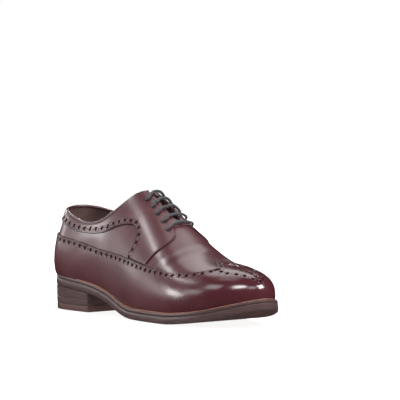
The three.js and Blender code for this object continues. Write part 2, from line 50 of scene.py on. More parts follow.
INSTEP = 0.129  # floor to the closed crown of the instep surface
SEAT = 0.0262  # floor to the sole's underside at the back
SOLE = 0.007  # outsole thickness
WELT = 0.0036  # welt with the gap under it
WALL = 0.002  # upper wall
GAP = 0.0003  # room left between neighbouring pieces
OVERLAY = 0.0015  # outer face of the wing and the facings, off the upper
HEEL_LENGTH = 0.075  # back of the heel to its breast
TOP_LIFT = 0.006  # lowest layer of the heel
LIFTS = 3  # layers of the heel above it
RUBBER_TIP = 0.026  # length of the rubber corner of the top lift
INSOLE = 0.003  # insole over the welt
THROAT = 0.009  # opening between the facings
THROAT_END = 0.172  # front of the opening
LACE = 0.0014  # lace radius
TONGUE = 0.002  # tongue thickness
COLUMNS = 60  # the CAD's facets round the last
HEEL_INSET = 0.0004  # heel's side in from the sole's edge
HEEL_TAPER = 0.0007  # further inset of the heel at the floor
WELT_WIDTH = 0.01  # width of the welt's strip
GROOVE = 0.0003  # depth of the grooves between the heel's layers
TIP_POINT = 0.002  # rubber corner's point, in front of its length
TIP_SLANT = 0.08  # slope of the rubber corner's cut, back to each side
CROSSING = 0.003  # how far the medial eyelets sit behind the lateral ones
BEND = 0.0027  # length of the lace's turn at an eyelet
SLACK = 0.0002  # room between the lace and the leather it lies on
TONGUE_DROP = 0.0015  # tongue's top under the tops of the facings
TONGUE_RISE = 0.0018  # how far the tongue rises in the middle of the opening
TONGUE_REACH = 0.42  # tongue's half width, share of the way from the crown to the feather edge

# Sizes of the surface work, in metres
PUNCH = 0.0018  # radius of a large punched hole
PIN_PUNCH = 0.00035  # radius of a small punched hole
PUNCH_STEP = 0.0083  # large holes, centre to centre
PUNCH_INSET = 0.0042  # line of large holes, in from the panel's edge
PIN_SPREAD = 0.11  # small holes, off the middle between two large ones, share of their step
TOOTH = 0.0019  # pinked teeth, tip to tip
TOOTH_HEIGHT = 0.0009  # pinked teeth, root to tip
SHEET_INSET = TOOTH_HEIGHT + 0.0003  # edge of a sheet under its toothed strip
OVERLAY_BASE = 0.0001  # foot of the edges of the wing and the facings, off the upper
THREAD = 0.00022  # radius of a sewing thread
STITCH = 0.0019  # fine stitch with its gap
WELT_STITCH = 0.0033  # welt stitch with its gap
WELT_CORD = 0.00042  # radius of the welt's thread
WELT_SEAM_START = 0.056  # where the welt's stitches begin, from the back of the sole
NOTCH = 0.00022  # depth of the notches across the welt
STITCH_SIZE = np.array([0.7, 1, 1, 1, 0.7])  # thickness along one stitch, share of its radius
WING_SEAMS = (0.0014, 0.0024, 0.0062)  # rows of stitches, in from the wing's edge
BAND_SEAMS = (0.0014, 0.0024, 0.0063)  # in from the collar band's edge
FRONT_SEAMS = (0.0016, 0.0028)  # in from the front edge of the facings
OPENING_SEAMS = (0.0031,)  # in from the edge of the opening
BAR_TACK = (0.0030, 0.0052)  # ends of a bar tack's stitches, in from the front edge
BAR_PITCH = 0.0020  # length of one of them
BAR_THREAD = 0.0004  # radius of its thread
BAR_START = 14  # first of them, in steps of the front edge's line
BAR_STITCHES = 7  # how many there are
WALL_HEIGHT = 0.098  # feather edge to crown, which sets the number of rows
FINE = 0.00105  # step of the outer leather's grid
COARSE = 0.0016  # step of the lining's grid
SOLE_STEP = 0.0022  # step of the sole's outline
WELT_STEP = 0.0011  # step of the welt's outline
LINE_STEP = 0.0003  # step of the panels' edge lines
WING_CLEARANCE = 0.0012  # how far the facings' edge stays from the wing where it shows
ROLL = 0.0018  # depth of the rolled edge round the opening
EYELET_CUT = 0.0019  # radius of the eyelet holes round the lace
EDGE_FALL = 0.0004  # how far a leather edge rounds down
EDGE_ROUND = 0.0008  # width of that rounding
HOLE_FALL = 0.0002  # how far the rim of a hole rounds down
HOLE_ROUND = 0.0004  # width of that rounding
DARK_EDGE_WIDTH = 0.0005  # width of the darker band along cut edges and round holes: dyed edge, with painted shade in the holes
CREASE_WANDER = 0.0015  # how far a crease strays from its straight line
DISH = 0.0009  # how far the sock sinks in the middle
BAR_STATIONS = (0.22, 0.36, 0.5, 0.64, 0.78, 0.87)  # points of a lace bar, shares of its run
BRAID_TWIST = 2400  # turn of the lace's braid, radians a metre
BRAID_RELIEF = 0.07  # height of the braid, share of the lace's radius
HEEL_REACH = 6  # section that the heel's sides stay behind
CROWN_JUMP = 1.5  # change of t that only a step over the crown makes
CROWN_NUDGE = 0.05  # step of t over which the crown's slope is read
SETTLE = 60  # rounds that settle the weights of a closed curve

# Last, one row per section from heel to toe: x and crown_x as shares of LENGTH, lateral and medial of
# BALL_WIDTH, crown_z of INSTEP, lean in degrees, rise as a share of the height, outer and inner of the width
COLUMN_NAMES = ("x", "lateral", "medial", "crown_x", "crown_z", "lean", "rise", "outer", "inner")
SECTIONS = [
    (0, 0, 0, 0.113, 1.012, 17, 0.3, 0.62, 0.62),
    (0.022, -0.232, 0.222, 0.123, 1.02, 17, 0.3, 0.62, 0.62),
    (0.078, -0.358, 0.345, 0.15, 1.035, 15, 0.32, 0.62, 0.62),
    (0.153, -0.384, 0.37, 0.193, 1.06, 10, 0.34, 0.66, 0.66),
    (0.24, -0.376, 0.355, 0.25, 1.075, 6, 0.36, 0.68, 0.68),
    (0.333, -0.376, 0.312, 0.32, 1.06, 4, 0.38, 0.58, 0.62),
    (0.433, -0.421, 0.307, 0.39, 1.008, 4, 0.4, 0.47, 0.6),
    (0.533, -0.475, 0.366, 0.463, 0.908, 6, 0.42, 0.42, 0.63),
    (0.633, -0.505, 0.446, 0.54, 0.783, 8, 0.46, 0.43, 0.66),
    (0.727, -0.505, 0.495, 0.627, 0.642, 10, 0.52, 0.48, 0.69),
    (0.81, -0.465, 0.5, 0.71, 0.527, 11, 0.58, 0.56, 0.72),
    (0.883, -0.381, 0.46, 0.783, 0.469, 12, 0.62, 0.64, 0.72),
    (0.943, -0.248, 0.381, 0.84, 0.441, 12, 0.64, 0.68, 0.72),
    (0.983, -0.089, 0.252, 0.877, 0.424, 11, 0.64, 0.7, 0.72),
    (1, 0.079, 0.079, 0.893, 0.414, 10, 0.64, 0.71, 0.71),
]

# Underside of the sole: share of LENGTH, share of SEAT
UNDERSIDE = [
    (0, 1), (0.1, 0.916), (0.24, 0.756), (0.3, 0.634), (0.35, 0.49), (0.4, 0.32), (0.433, 0.2), (0.467, 0.1),
    (0.5, 0.035), (0.533, 0.008), (0.61, 0), (0.71, 0), (0.8, 0.08), (0.867, 0.2), (0.933, 0.4), (1, 0.66),
]

# Crown line seen from above: share of LENGTH, share of BALL_WIDTH
CROWN_LINE = [(0, 0), (0.3, 0.025), (0.45, 0.055), (0.6, 0.05), (0.78, 0.035), (0.9, 0.079)]

# Welt left showing outside the upper: share of LENGTH, metres
LEDGE = [
    (0, 0.0006), (0.133, 0.0018), (0.24, 0.0036), (0.367, 0.0052), (0.5, 0.0058), (0.9, 0.0054), (1, 0.0048),
]

# Edges seen from the side: x and z as shares of LENGTH
TOPLINE = [
    (-0.1, 0.355), (0.017, 0.355), (0.047, 0.346), (0.08, 0.336), (0.12, 0.326), (0.173, 0.312),
    (0.217, 0.303),
    (0.257, 0.306), (0.297, 0.321), (0.32, 0.337), (0.342, 0.353), (0.367, 0.375), (0.388, 0.395),
    (0.403, 0.408),
    (0.433, 0.418),
]
COLLAR_EDGE = [
    (-0.1, 0.304), (0.053, 0.3), (0.1, 0.289), (0.143, 0.277), (0.19, 0.267), (0.247, 0.264), (0.3, 0.27),
    (0.333, 0.28), (0.358, 0.29), (0.382, 0.297), (0.41, 0.302), (0.438, 0.302), (0.457, 0.297),
    (0.468, 0.288),
    (0.478, 0.273), (0.48, 0.253), (0.473, 0.233), (0.463, 0.213), (0.45, 0.17),
]
FACING_FRONT = [
    (0.56, 0.15), (0.584, 0.19), (0.597, 0.207), (0.611, 0.226), (0.623, 0.243), (0.629, 0.256),
    (0.624, 0.268),
    (0.608, 0.282), (0.585, 0.301),
]
WING_EDGE = [
    (-0.1, 0.266), (0.053, 0.256), (0.1, 0.249), (0.161, 0.242), (0.204, 0.235), (0.252, 0.225),
    (0.305, 0.215),
    (0.36, 0.209), (0.425, 0.201), (0.528, 0.186), (0.59, 0.178), (0.655, 0.171), (0.717, 0.165),
    (0.766, 0.165),
    (0.81, 0.171), (0.833, 0.177), (0.853, 0.187), (0.873, 0.2), (1.1, 0.2),
]

# Peak of the wing tip seen from above: share of LENGTH, share of BALL_WIDTH
WING_PEAK = [
    (0.86, -0.6), (0.857, -0.2), (0.85, -0.15), (0.827, -0.1), (0.8, -0.04), (0.777, 0.02), (0.8, 0.085),
    (0.827, 0.15), (0.85, 0.215), (0.857, 0.27), (0.86, 0.6),
]

# Eyelets: share of LENGTH, metres from the crown line on the lateral and the medial side
EYELETS = [
    (0.449, 0.0125, 0.0125), (0.482, 0.0132, 0.0125), (0.514, 0.0145, 0.013), (0.549, 0.016, 0.0135),
    (0.582, 0.018, 0.0145),
]

HALF = len(SECTIONS) - 1
ROUND = 2 * HALF


def hermite(s, start, end, leave, arrive):
    """Cubic between two values with a slope at each, s from 0 to 1."""
    ends = (1 + 2 * s) * (1 - s) ** 2 * start + (3 - 2 * s) * s * s * end
    return ends + s * (1 - s) ** 2 * leave - s * s * (1 - s) * arrive


def through(rows):
    """Smooth curve through (x, value) rows that never swings past them."""
    xs = np.array([row[0] for row in rows], float)
    ys = np.array([row[1] for row in rows], float)
    step = np.diff(ys) / np.diff(xs)
    slope = np.zeros(len(xs))
    slope[0] = step[0]
    slope[-1] = step[-1]
    product = step[:-1] * step[1:]
    total = np.where(product > 0, step[:-1] + step[1:], 1)
    slope[1:-1] = np.where(product > 0, 2 * product / total, 0)

    def curve(x):
        x = np.clip(np.asarray(x, float), xs[0], xs[-1])
        i = np.clip(np.searchsorted(xs, x, side="right") - 1, 0, len(xs) - 2)
        width = xs[i + 1] - xs[i]
        return hermite((x - xs[i]) / width, ys[i], ys[i + 1], slope[i] * width, slope[i + 1] * width)

    return curve


def closed_curve(values):
    """Smooth closed curve through evenly spaced values."""
    values = np.array(values, float)
    count = len(values)
    weight = values.copy()
    for _ in range(SETTLE):
        for i in range(count):
            weight[i] = (6 * values[i] - weight[i - 1] - weight[(i + 1) % count]) / 4

    def curve(t):
        t = np.asarray(t, float)
        cell = np.floor(t).astype(int)
        s = t - cell
        a, b, c, d = [weight[(cell + k) % count] for k in (-1, 0, 1, 2)]
        near = a * (1 - s) ** 3 + b * (3 * s ** 3 - 6 * s * s + 4)
        far = c * (3 * (1 - s) ** 3 - 6 * (1 - s) ** 2 + 4) + d * s ** 3
        return (near + far) / 6

    return curve


def around_last(out_column, back_column, size):
    """One column heel to toe down the lateral side and another back up the medial side."""
    out = [row[COLUMN_NAMES.index(out_column)] * size for row in SECTIONS]
    back = [row[COLUMN_NAMES.index(back_column)] * size for row in SECTIONS[1:HALF]][::-1]
    return closed_curve(out + back)


edge_x = around_last("x", "x", LENGTH)
edge_y = around_last("lateral", "medial", BALL_WIDTH)
crown_x = around_last("crown_x", "crown_x", LENGTH)
crown_z = around_last("crown_z", "crown_z", INSTEP)
lean_of = around_last("lean", "lean", 1)
rise_of = around_last("rise", "rise", 1)
fullness = around_last("outer", "inner", 1)
underside_share = through(UNDERSIDE)
crown_line_share = through(CROWN_LINE)
ledge_of = through(LEDGE)


def underside(x):
    return SEAT * underside_share(x / LENGTH)


def feather_height(x):
    return underside(x) + SOLE + WELT + GAP


def crown_line(x):
    return BALL_WIDTH * crown_line_share(x / LENGTH)


def outline(t, inset):
    """Plan outline of the sole moved inward by a distance, and its outward direction."""
    e = 0.01
    dx = edge_x(t + e) - edge_x(t - e)
    dy = edge_y(t + e) - edge_y(t - e)
    size = np.hypot(dx, dy)
    out = np.stack([dy / size, -dx / size], -1)
    at = np.stack([edge_x(t), edge_y(t)], -1) - out * np.asarray(inset)[..., None]
    return at, out


def last_point(t, v):
    """Point of the last at t round the feather edge and v from that edge up to the crown."""
    t, v = np.broadcast_arrays(np.asarray(t, float), np.asarray(v, float))
    t = t % ROUND
    at, out = outline(t, ledge_of(edge_x(t) / LENGTH))
    foot = np.stack([at[..., 0], at[..., 1], feather_height(at[..., 0])], -1)
    top_x = crown_x(t)
    top = np.stack([top_x, crown_line(top_x), crown_z(t)], -1)
    climb = rise_of(t) * (top[..., 2] - foot[..., 2])
    flare = np.tan(np.radians(lean_of(t))) * climb
    low = foot + np.stack([out[..., 0] * flare, out[..., 1] * flare, climb], -1)
    side = (foot - top)[..., :2]
    fall = np.hypot(side[..., 0], side[..., 1])
    side = side / fall[..., None]
    mirrored = np.where(t > HALF, ROUND - t, t)
    before = np.maximum(mirrored - CROWN_NUDGE, 0)
    after = np.minimum(mirrored + CROWN_NUDGE, HALF)
    slope = (crown_z(after) - crown_z(before)) / np.maximum(crown_x(after) - crown_x(before), 1e-6)
    spread = fullness(t) * fall
    lift = slope * side[..., 0] * spread
    high = top + np.stack([side[..., 0] * spread, side[..., 1] * spread, lift], -1)
    v = v[..., None]
    w = 1 - v
    return foot * w ** 3 + low * 3 * v * w * w + high * 3 * v * v * w + top * v ** 3


def last_frame(t, v):
    """Point, outward normal and the two surface tangents per unit of t and v."""
    e = 0.004
    t, v = np.broadcast_arrays(np.asarray(t, float), np.asarray(v, float))
    level = np.minimum(v, 1 - e)
    high = np.minimum(v + e, 1)
    low = np.maximum(v - e, 0)

    def sides(at):
        along = (last_point(at + e, level) - last_point(at - e, level)) / (2 * e)
        up = (last_point(at, high) - last_point(at, low)) / (high - low)[..., None]
        return along, up

    along, up = sides(t)
    normal = unit(np.cross(along, up))
    far_along, far_up = sides(ROUND - t)
    other = unit(np.cross(far_along, far_up))
    normal = np.where((v > 1 - 1e-9)[..., None], unit(normal + other), normal)
    return last_point(t, v), normal, along, up


def unit(vectors):
    return vectors / np.maximum(np.linalg.norm(vectors, axis=-1, keepdims=True), 1e-12)


def shell_point(t, v, distance):
    """Point a distance outside the last, its lowest row held just above the welt."""
    point, normal, _, _ = last_frame(t, v)
    moved = point + normal * np.asarray(distance)[..., None]
    lowest = np.broadcast_to(np.asarray(v), moved.shape[:-1]) <= 0
    moved[..., 2] = np.where(lowest, feather_height(moved[..., 0]), moved[..., 2])
    return moved


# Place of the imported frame's origin in the last's own coordinates, from the lowest corner of the outsole
SOLE_CORNER = outline(np.arange(COLUMNS) * ROUND / COLUMNS, 0.0)[0].min(0)
ORIGIN = np.array([*(SOLE_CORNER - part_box("outsole")[0][:2]), 0.0])


def to_frame(points):
    return np.asarray(points) - ORIGIN


def running_length(points):
    """Length along a row of points, from 0 at the first."""
    return np.concatenate([[0], np.cumsum(np.linalg.norm(np.diff(points, axis=0), axis=1))])


def read_off(at, run, values):
    """Values of every column at places along a running length."""
    return np.stack([np.interp(at, run, column) for column in np.transpose(values)], -1)


def even_columns(step, samples=2000):
    """Columns round the feather edge at even steps, the medial half a mirror of the lateral half."""
    fine = np.linspace(0, ROUND, 2 * samples + 1)
    run = running_length(last_point(fine, 0))
    half = int(round(run[-1] / step / 2))
    first = np.interp(np.linspace(0, run[samples], half + 1), run, fine)
    return np.concatenate([first, ROUND - first[1:-1][::-1]]), half


def ring_cells(ids):
    """Cells between rows of numbered points that close round the last."""
    right = np.roll(ids, -1, axis=1)
    return np.stack([ids[:-1], right[:-1], right[1:], ids[1:]], -1).reshape(-1, 4)


def make_grid(step):
    """Grid over the whole last, its last row shared by both sides of the crown."""
    columns, half = even_columns(step)
    rows = int(round(WALL_HEIGHT / step))
    levels = np.linspace(0, 1, rows + 1)
    count = len(columns)
    t = np.concatenate([np.tile(columns, rows), columns[: half + 1]])
    v = np.concatenate([np.repeat(levels[:rows], count), np.ones(half + 1)])
    ids = np.arange(rows * count).reshape(rows, count)
    order = np.arange(count)
    crown = rows * count + np.where(order <= half, order, count - order)
    point, normal, _, _ = last_frame(t, v)
    return {"t": t, "v": v, "point": point, "normal": normal, "cells": ring_cells(np.vstack([ids, crown]))}


def polygon_distance(a, b, corners):
    """Distance to a polygon in a flat view, negative inside it."""
    corners = np.array(corners, float)
    best = np.full(a.shape, np.inf)
    inside = np.zeros(a.shape, bool)
    for (x0, y0), (x1, y1) in zip(corners, np.roll(corners, -1, axis=0)):
        dx = x1 - x0
        dy = y1 - y0
        s = np.clip(((a - x0) * dx + (b - y0) * dy) / max(dx * dx + dy * dy, 1e-18), 0, 1)
        best = np.minimum(best, np.hypot(a - x0 - s * dx, b - y0 - s * dy))
        if y0 != y1:
            crosses = (b >= min(y0, y1)) & (b < max(y0, y1))
            inside ^= crosses & (a < x0 + (b - y0) * dx / dy)
    return np.where(inside, -best, best)


def smooth_rows(rows, count):
    """The same corners as more rows on a smooth curve, by running length, in metres."""
    rows = np.array(rows, float)
    run = np.concatenate([[0], np.cumsum(np.hypot(*np.diff(rows, axis=0).T))])
    at = np.linspace(0, run[-1], count)
    x = through(list(zip(run, rows[:, 0])))(at)
    z = through(list(zip(run, rows[:, 1])))(at)
    return list(zip(x * LENGTH, z * LENGTH))


wing_edge = through(WING_EDGE)
FACING_SHAPE = smooth_rows(COLLAR_EDGE, 90) + smooth_rows(FACING_FRONT, 40)
FACING_SHAPE += [(FACING_FRONT[-1][0] * LENGTH, LENGTH), (-0.1 * LENGTH, LENGTH)]
OPEN_SHAPE = smooth_rows(TOPLINE, 90)
OPEN_SHAPE += [(0.45 * LENGTH, 0.45 * LENGTH), (0.45 * LENGTH, LENGTH), (-0.1 * LENGTH, LENGTH)]
THROAT_STATIONS = np.linspace(0.2, 0.54, 12) * LENGTH
THROAT_SHAPE = [(x, crown_line(x) - THROAT / 2) for x in THROAT_STATIONS]
THROAT_SHAPE += [(THROAT_END, crown_line(THROAT_END))]
THROAT_SHAPE += [(x, crown_line(x) + THROAT / 2) for x in THROAT_STATIONS[::-1]]


def wing_field(p):
    """Negative on the wing: under its side edge, or ahead of its peak."""
    low = p[..., 2] - LENGTH * wing_edge(p[..., 0] / LENGTH)
    peak = np.interp(p[..., 1] / BALL_WIDTH, [row[1] for row in WING_PEAK], [row[0] for row in WING_PEAK])
    return np.minimum(low, 0.75 * (LENGTH * peak - p[..., 0]))


def facing_field(p):
    """Negative on the collar band, the arch and the facings."""
    return polygon_distance(p[..., 0], p[..., 2], FACING_SHAPE)


def opening_field(p):
    """Negative on the shoe, positive over the collar and in the slot between the facings."""
    above = polygon_distance(p[..., 0], p[..., 2], OPEN_SHAPE)
    slot = polygon_distance(p[..., 0], p[..., 1], THROAT_SHAPE)
    return -np.minimum(above, slot)


def march(cells, field, columns):
    """Cells cut where the field turns positive: the columns' values, the faces and the border edges."""
    inside = field < 0
    total = inside[cells].sum(1)
    faces = [tuple(cell) for cell in cells[total == 4].tolist()]
    extra = []
    cut = {}
    border = []
    base = len(field)

    def crossing(a, b):
        key = (a, b) if a < b else (b, a)
        if key not in cut:
            cut[key] = base + len(extra)
            share = field[key[0]] / (field[key[0]] - field[key[1]])
            extra.append((key[0], key[1], min(max(share, 0.02), 0.98)))
        return cut[key]

    for cell in cells[(total > 0) & (total < 4)].tolist():
        polygon = []
        ends = []
        for a, b in zip(cell, cell[1:] + cell[:1]):
            if inside[a]:
                polygon.append(a)
            if inside[a] != inside[b]:
                polygon.append(crossing(a, b))
                ends.append((polygon[-1], bool(inside[a])))
        faces.append(tuple(polygon))
        first = 0 if ends[0][1] else 1
        for n in range(first, first + len(ends), 2):
            border.append((ends[n % len(ends)][0], ends[(n + 1) % len(ends)][0]))
    if extra:
        low = np.array([row[0] for row in extra])
        high = np.array([row[1] for row in extra])
        share = np.array([row[2] for row in extra])[:, None]
        columns = [np.vstack([c, c[low] * (1 - share) + c[high] * share]) for c in columns]
    return columns, faces, border


def chains(border):
    """Border edges joined into ordered runs."""
    after = dict(border)
    ends = set(after.values())
    starts = [a for a in after if a not in ends]
    runs = []
    while after:
        run = [starts.pop() if starts else next(iter(after))]
        while run[-1] in after:
            run.append(after.pop(run[-1]))
        runs.append(run)
    return runs


def meeting(runs, reach):
    """First two runs where one ends within reach of the other's start."""
    for a in runs:
        for b in runs:
            if a is not b and np.linalg.norm(last_point(*a[-1]) - last_point(*b[0])) < reach:
                return a, b
    return None


def trace(field_of, step=0.0012):
    """Zero lines of a field on the last as runs of t and v, joined where they cross the crown."""
    columns, _ = even_columns(step)
    rows = int(round(WALL_HEIGHT / step))
    t, v = np.meshgrid(columns, np.linspace(0, 1, rows + 1))
    cells = ring_cells(np.arange(t.size).reshape(t.shape))
    turn = t.ravel() * 2 * math.pi / ROUND
    field = field_of(last_point(t.ravel(), v.ravel()))
    (values,), _, border = march(cells, field, [np.stack([np.cos(turn), np.sin(turn), v.ravel()], -1)])
    runs = []
    for chain in chains(border):
        row = values[chain]
        at = np.arctan2(row[:, 1], row[:, 0]) * ROUND / (2 * math.pi) % ROUND
        runs.append(np.stack([at, row[:, 2]], -1))
    pair = meeting(runs, 2 * step)
    while pair:
        a, b = pair
        runs = [run for run in runs if run is not a and run is not b] + [np.vstack(pair)]
        pair = meeting(runs, 2 * step)
    return max(runs, key=len)


def step_on(t, v, direction, distance, steps=5):
    """Walks from places on the last along tangent directions, over the crown where it has to."""
    t = np.array(t, float)
    v = np.array(v, float)
    direction = np.array(direction, float)
    for _ in range(steps):
        _, normal, along, up = last_frame(t, np.clip(v, 0, 1))
        direction = unit(direction - normal * (direction * normal).sum(-1, keepdims=True))
        aa = (along * along).sum(-1)
        ab = (along * up).sum(-1)
        bb = (up * up).sum(-1)
        ad = (along * direction).sum(-1)
        bd = (up * direction).sum(-1)
        det = np.maximum(aa * bb - ab * ab, 1e-12)
        t = t + (ad * bb - bd * ab) / det * distance / steps
        v = v + (bd * aa - ad * ab) / det * distance / steps
        over = v > 1
        t = np.where(over, ROUND - t, t) % ROUND
        v = np.where(over, 2 - v, v)
    return t, v


def place_at(x, y, columns=161, rows=121, lowest=0.4):
    """Place on the upper part of the last straight under a plan position."""
    side = (HALF, ROUND) if y > crown_line(x) else (0, HALF)
    t, v = np.meshgrid(np.linspace(*side, columns), np.linspace(lowest, 1, rows))
    p = last_point(t, v)
    miss = np.hypot(p[..., 0] - x, p[..., 1] - y)
    best = np.unravel_index(miss.argmin(), miss.shape)
    return float(t[best] % ROUND), float(v[best])


class Line:
    """Line on the last at even steps, with its points, normals and the direction into the panel."""

    def __init__(self, places, spacing):
        places = np.array(places)
        gap = np.abs((np.diff(places[:, 0]) + HALF) % ROUND - HALF)
        for i in np.nonzero(gap > CROWN_JUMP)[0][::-1]:
            places = np.insert(places, i + 1, [[places[i, 0], 1], [ROUND - places[i, 0], 1]], axis=0)
        run = running_length(last_point(places[:, 0], places[:, 1]))
        run = run + 1e-9 * np.arange(len(run))
        count = max(int(round(run[-1] / spacing)), 2)
        self.at = np.linspace(0, run[-1], count + 1)
        turn = places[:, 0] * 2 * math.pi / ROUND
        cos = np.interp(self.at, run, np.cos(turn))
        sin = np.interp(self.at, run, np.sin(turn))
        self.t = np.arctan2(sin, cos) * ROUND / (2 * math.pi) % ROUND
        self.v = np.interp(self.at, run, places[:, 1])
        self.point, self.normal, _, _ = last_frame(self.t, self.v)
        self.forward = unit(np.gradient(self.point, axis=0))
        self.inward = unit(np.cross(self.normal, self.forward))

    def places(self):
        return np.stack([self.t, self.v], -1)

    def beside(self, distance):
        """Places a distance to the inward side."""
        return np.stack(step_on(self.t, self.v, self.inward, distance), -1)

    def stretches(self, wanted):
        """Places of each stretch of the line where a test holds."""
        runs = np.split(np.arange(len(wanted)), np.nonzero(np.diff(wanted.astype(int)))[0] + 1)
        return [self.places()[run] for run in runs if wanted[run[0]]]


def distance_to(points, marks, reach):
    """Distance from each point to the nearest mark, capped at a reach."""
    tree = KDTree(len(marks))
    for i, mark in enumerate(marks):
        tree.insert(mark, i)
    tree.balance()
    near = ((points > marks.min(0) - reach) & (points < marks.max(0) + reach)).all(1)
    found = np.full(len(points), reach)
    for i in np.nonzero(near)[0]:
        found[i] = min(tree.find(points[i])[2], reach)
    return found


class Parts:
    """Vertices, faces and point attributes gathered into one mesh."""

    def __init__(self):
        self.points = []
        self.faces = []
        self.values = {}
        self.count = 0

    def add(self, points, faces, **values):
        points = np.asarray(points, float).reshape(-1, 3)
        self.points.append(points)
        self.faces.extend([tuple(int(k) + self.count for k in face) for face in faces])
        for name in set(self.values) | set(values):
            earlier = self.values.setdefault(name, [np.zeros(self.count)])
            earlier.append(np.broadcast_to(values.get(name, 0.0), len(points)).astype(float))
        self.count += len(points)

    def build(self, name, material, replaces=(), sharp=50):
        """Object of the gathered mesh, riding on the shoe."""
        mesh = bpy.data.meshes.new(name)
        points = to_frame(np.vstack(self.points))
        used = np.zeros(len(points), bool)
        used[np.concatenate([np.array(face) for face in self.faces])] = True
        renumber = np.cumsum(used) - 1
        mesh.from_pydata(points[used].tolist(), [], [tuple(renumber[list(f)].tolist()) for f in self.faces])
        for key, parts in self.values.items():
            layer = mesh.attributes.new(key, "FLOAT", "POINT")
            layer.data.foreach_set("value", np.concatenate(parts)[used].astype(np.float32))
        welded = bmesh.new()
        welded.from_mesh(mesh)
        bmesh.ops.remove_doubles(welded, verts=welded.verts, dist=2e-6)
        bmesh.ops.dissolve_degenerate(welded, edges=welded.edges, dist=1e-7)
        welded.to_mesh(mesh)
        welded.free()
        mesh.polygons.foreach_set("use_smooth", [True] * len(mesh.polygons))
        mesh.set_sharp_from_angle(angle=math.radians(sharp))
        mesh.update()
        piece = bpy.data.objects.new(name, mesh)
        bpy.context.scene.collection.objects.link(piece)
        mesh.materials.append(material)
        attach(piece, "root")
        if replaces:
            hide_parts(*replaces)
        return piece


def strip_faces(rows, count, closed=False):
    """Quads of a grid of rows, numbered row by row."""
    faces = []
    span = count if closed else count - 1
    for row in range(rows - 1):
        for i in range(span):
            j = (i + 1) % count
            faces.append((row * count + i, row * count + j, (row + 1) * count + j, (row + 1) * count + i))
    return faces


def refined(grid, centres, reach=0.0026, split=4):
    """The same grid with its cells near any centre split finer."""
    cells = grid["cells"]
    middle = grid["point"][cells].mean(1)
    near = distance_to(middle, centres, reach * 1.2) < reach
    t = grid["t"][cells[near]]
    v = grid["v"][cells[near]]
    # A corner on the crown may carry the t of the far side
    turned = np.abs((t - t[:, :1] + HALF) % ROUND - HALF) > 2
    t = np.where(turned, ROUND - t, t)
    t = t[:, :1] + (t - t[:, :1] + HALF) % ROUND - HALF
    share = np.linspace(0, 1, split + 1)
    a, b = [part.ravel() for part in np.meshgrid(share, share)]
    weight = np.stack([(1 - a) * (1 - b), a * (1 - b), a * b, (1 - a) * b], -1)
    fine_t = (t @ weight.T).ravel() % ROUND
    fine_v = (v @ weight.T).ravel()
    point, normal, _, _ = last_frame(fine_t, fine_v)
    inner = np.array(strip_faces(split + 1, split + 1))
    start = len(grid["t"]) + (split + 1) ** 2 * np.arange(near.sum())
    fine = (start[:, None, None] + inner[None]).reshape(-1, 4)
    return {
        "t": np.concatenate([grid["t"], fine_t]), "v": np.concatenate([grid["v"], fine_v]),
        "point": np.vstack([grid["point"], point]), "normal": np.vstack([grid["normal"], normal]),
        "cells": np.vstack([cells[~near], fine]),
    }


def add_walls(parts, border, top, low, **values):
    """Wall down from the border of one sheet to the same points of another."""
    ends = sorted({k for pair in border for k in pair})
    number = {k: i for i, k in enumerate(ends)}
    walls = [(number[a] + len(ends), number[b] + len(ends), number[b], number[a]) for a, b in border]
    parts.add(np.vstack([top[ends], low[ends]]), walls, **values)


def leather_sheet(parts, grid, panel, holes, height, floor=None):
    """Cut sheet over the last with rounded rims: closed down to its floor, or a bare lining facing in."""
    data = [grid["point"], grid["normal"], np.stack([-panel, -holes], -1)]
    (point, normal, depth), faces, border = march(grid["cells"], np.maximum(panel, holes), data)
    depth = np.clip(depth, 0, None)
    fall = EDGE_FALL * np.clip(1 - depth[:, 0] / EDGE_ROUND, 0, 1) ** 2
    fall += HOLE_FALL * np.clip(1 - depth[:, 1] / HOLE_ROUND, 0, 1) ** 2
    normal = unit(normal)
    folds = crease(point)
    top = point + normal * (height + folds - fall)[:, None]
    flat = point[:, 2] <= feather_height(point[:, 0]) + 1e-7
    top[flat, 2] = feather_height(top[flat, 0])
    # Darkening along cut edges and round holes, full on the walls below: the dyed cut edge, with painted
    # shade down the holes
    edge_dye_and_shade = np.clip(1 - depth.min(1) / DARK_EDGE_WIDTH, 0, 1)
    if floor is None:
        parts.add(top, [face[::-1] for face in faces], edge=edge_dye_and_shade)
    else:
        parts.add(top, faces, edge=edge_dye_and_shade)
        add_walls(parts, border, top, point + normal * (floor + folds)[:, None], edge=1.0)


# Soft creases: x, z and slope in the side view, length, half width, depth; each on both sides
CREASES = [
    (0.655, 0.215, 62, 0.030, 0.0055, -0.00030),
    (0.690, 0.205, 64, 0.028, 0.0060, -0.00026),
    (0.622, 0.190, 58, 0.026, 0.0055, -0.00022),
    (0.672, 0.210, 63, 0.028, 0.0050, 0.00018),
    (0.230, 0.215, 24, 0.035, 0.0070, -0.00022),
    (0.120, 0.230, 12, 0.030, 0.0065, -0.00018),
]


def crease(p):
    """Height of the soft creases where the foot bends the leather."""
    height = np.zeros(p.shape[:-1])
    for x, z, slope, length, width, depth in CREASES:
        dx = p[..., 0] - x * LENGTH
        dz = p[..., 2] - z * LENGTH
        c = math.cos(math.radians(slope))
        s = math.sin(math.radians(slope))
        along = (dx * c + dz * s) / length
        across = (dz * c - dx * s + CREASE_WANDER * np.sin(along * 4)) / width
        height += depth * np.exp(-along ** 2 * 2.5 - across ** 2)
    return height


def edge_distance(grid, field, line, reach=0.006):
    """Distance to a panel's traced edge, negative on the panel, in metres."""
    return np.sign(field(grid["point"])) * distance_to(grid["point"], line.point, reach)


def punched(grid, *rows, reach=0.004):
    """Field that is positive inside the holes, given as pairs of their centres and radius."""
    return np.max([radius - distance_to(grid["point"], centres, reach) for centres, radius in rows], axis=0)


def laid(line, inset, height):
    """The line moved inward over the last and raised, following the creases."""
    t, v = step_on(line.t, line.v, line.inward, inset)
    point, normal, _, _ = last_frame(t, v)
    return point + normal * (height + crease(point))[:, None]


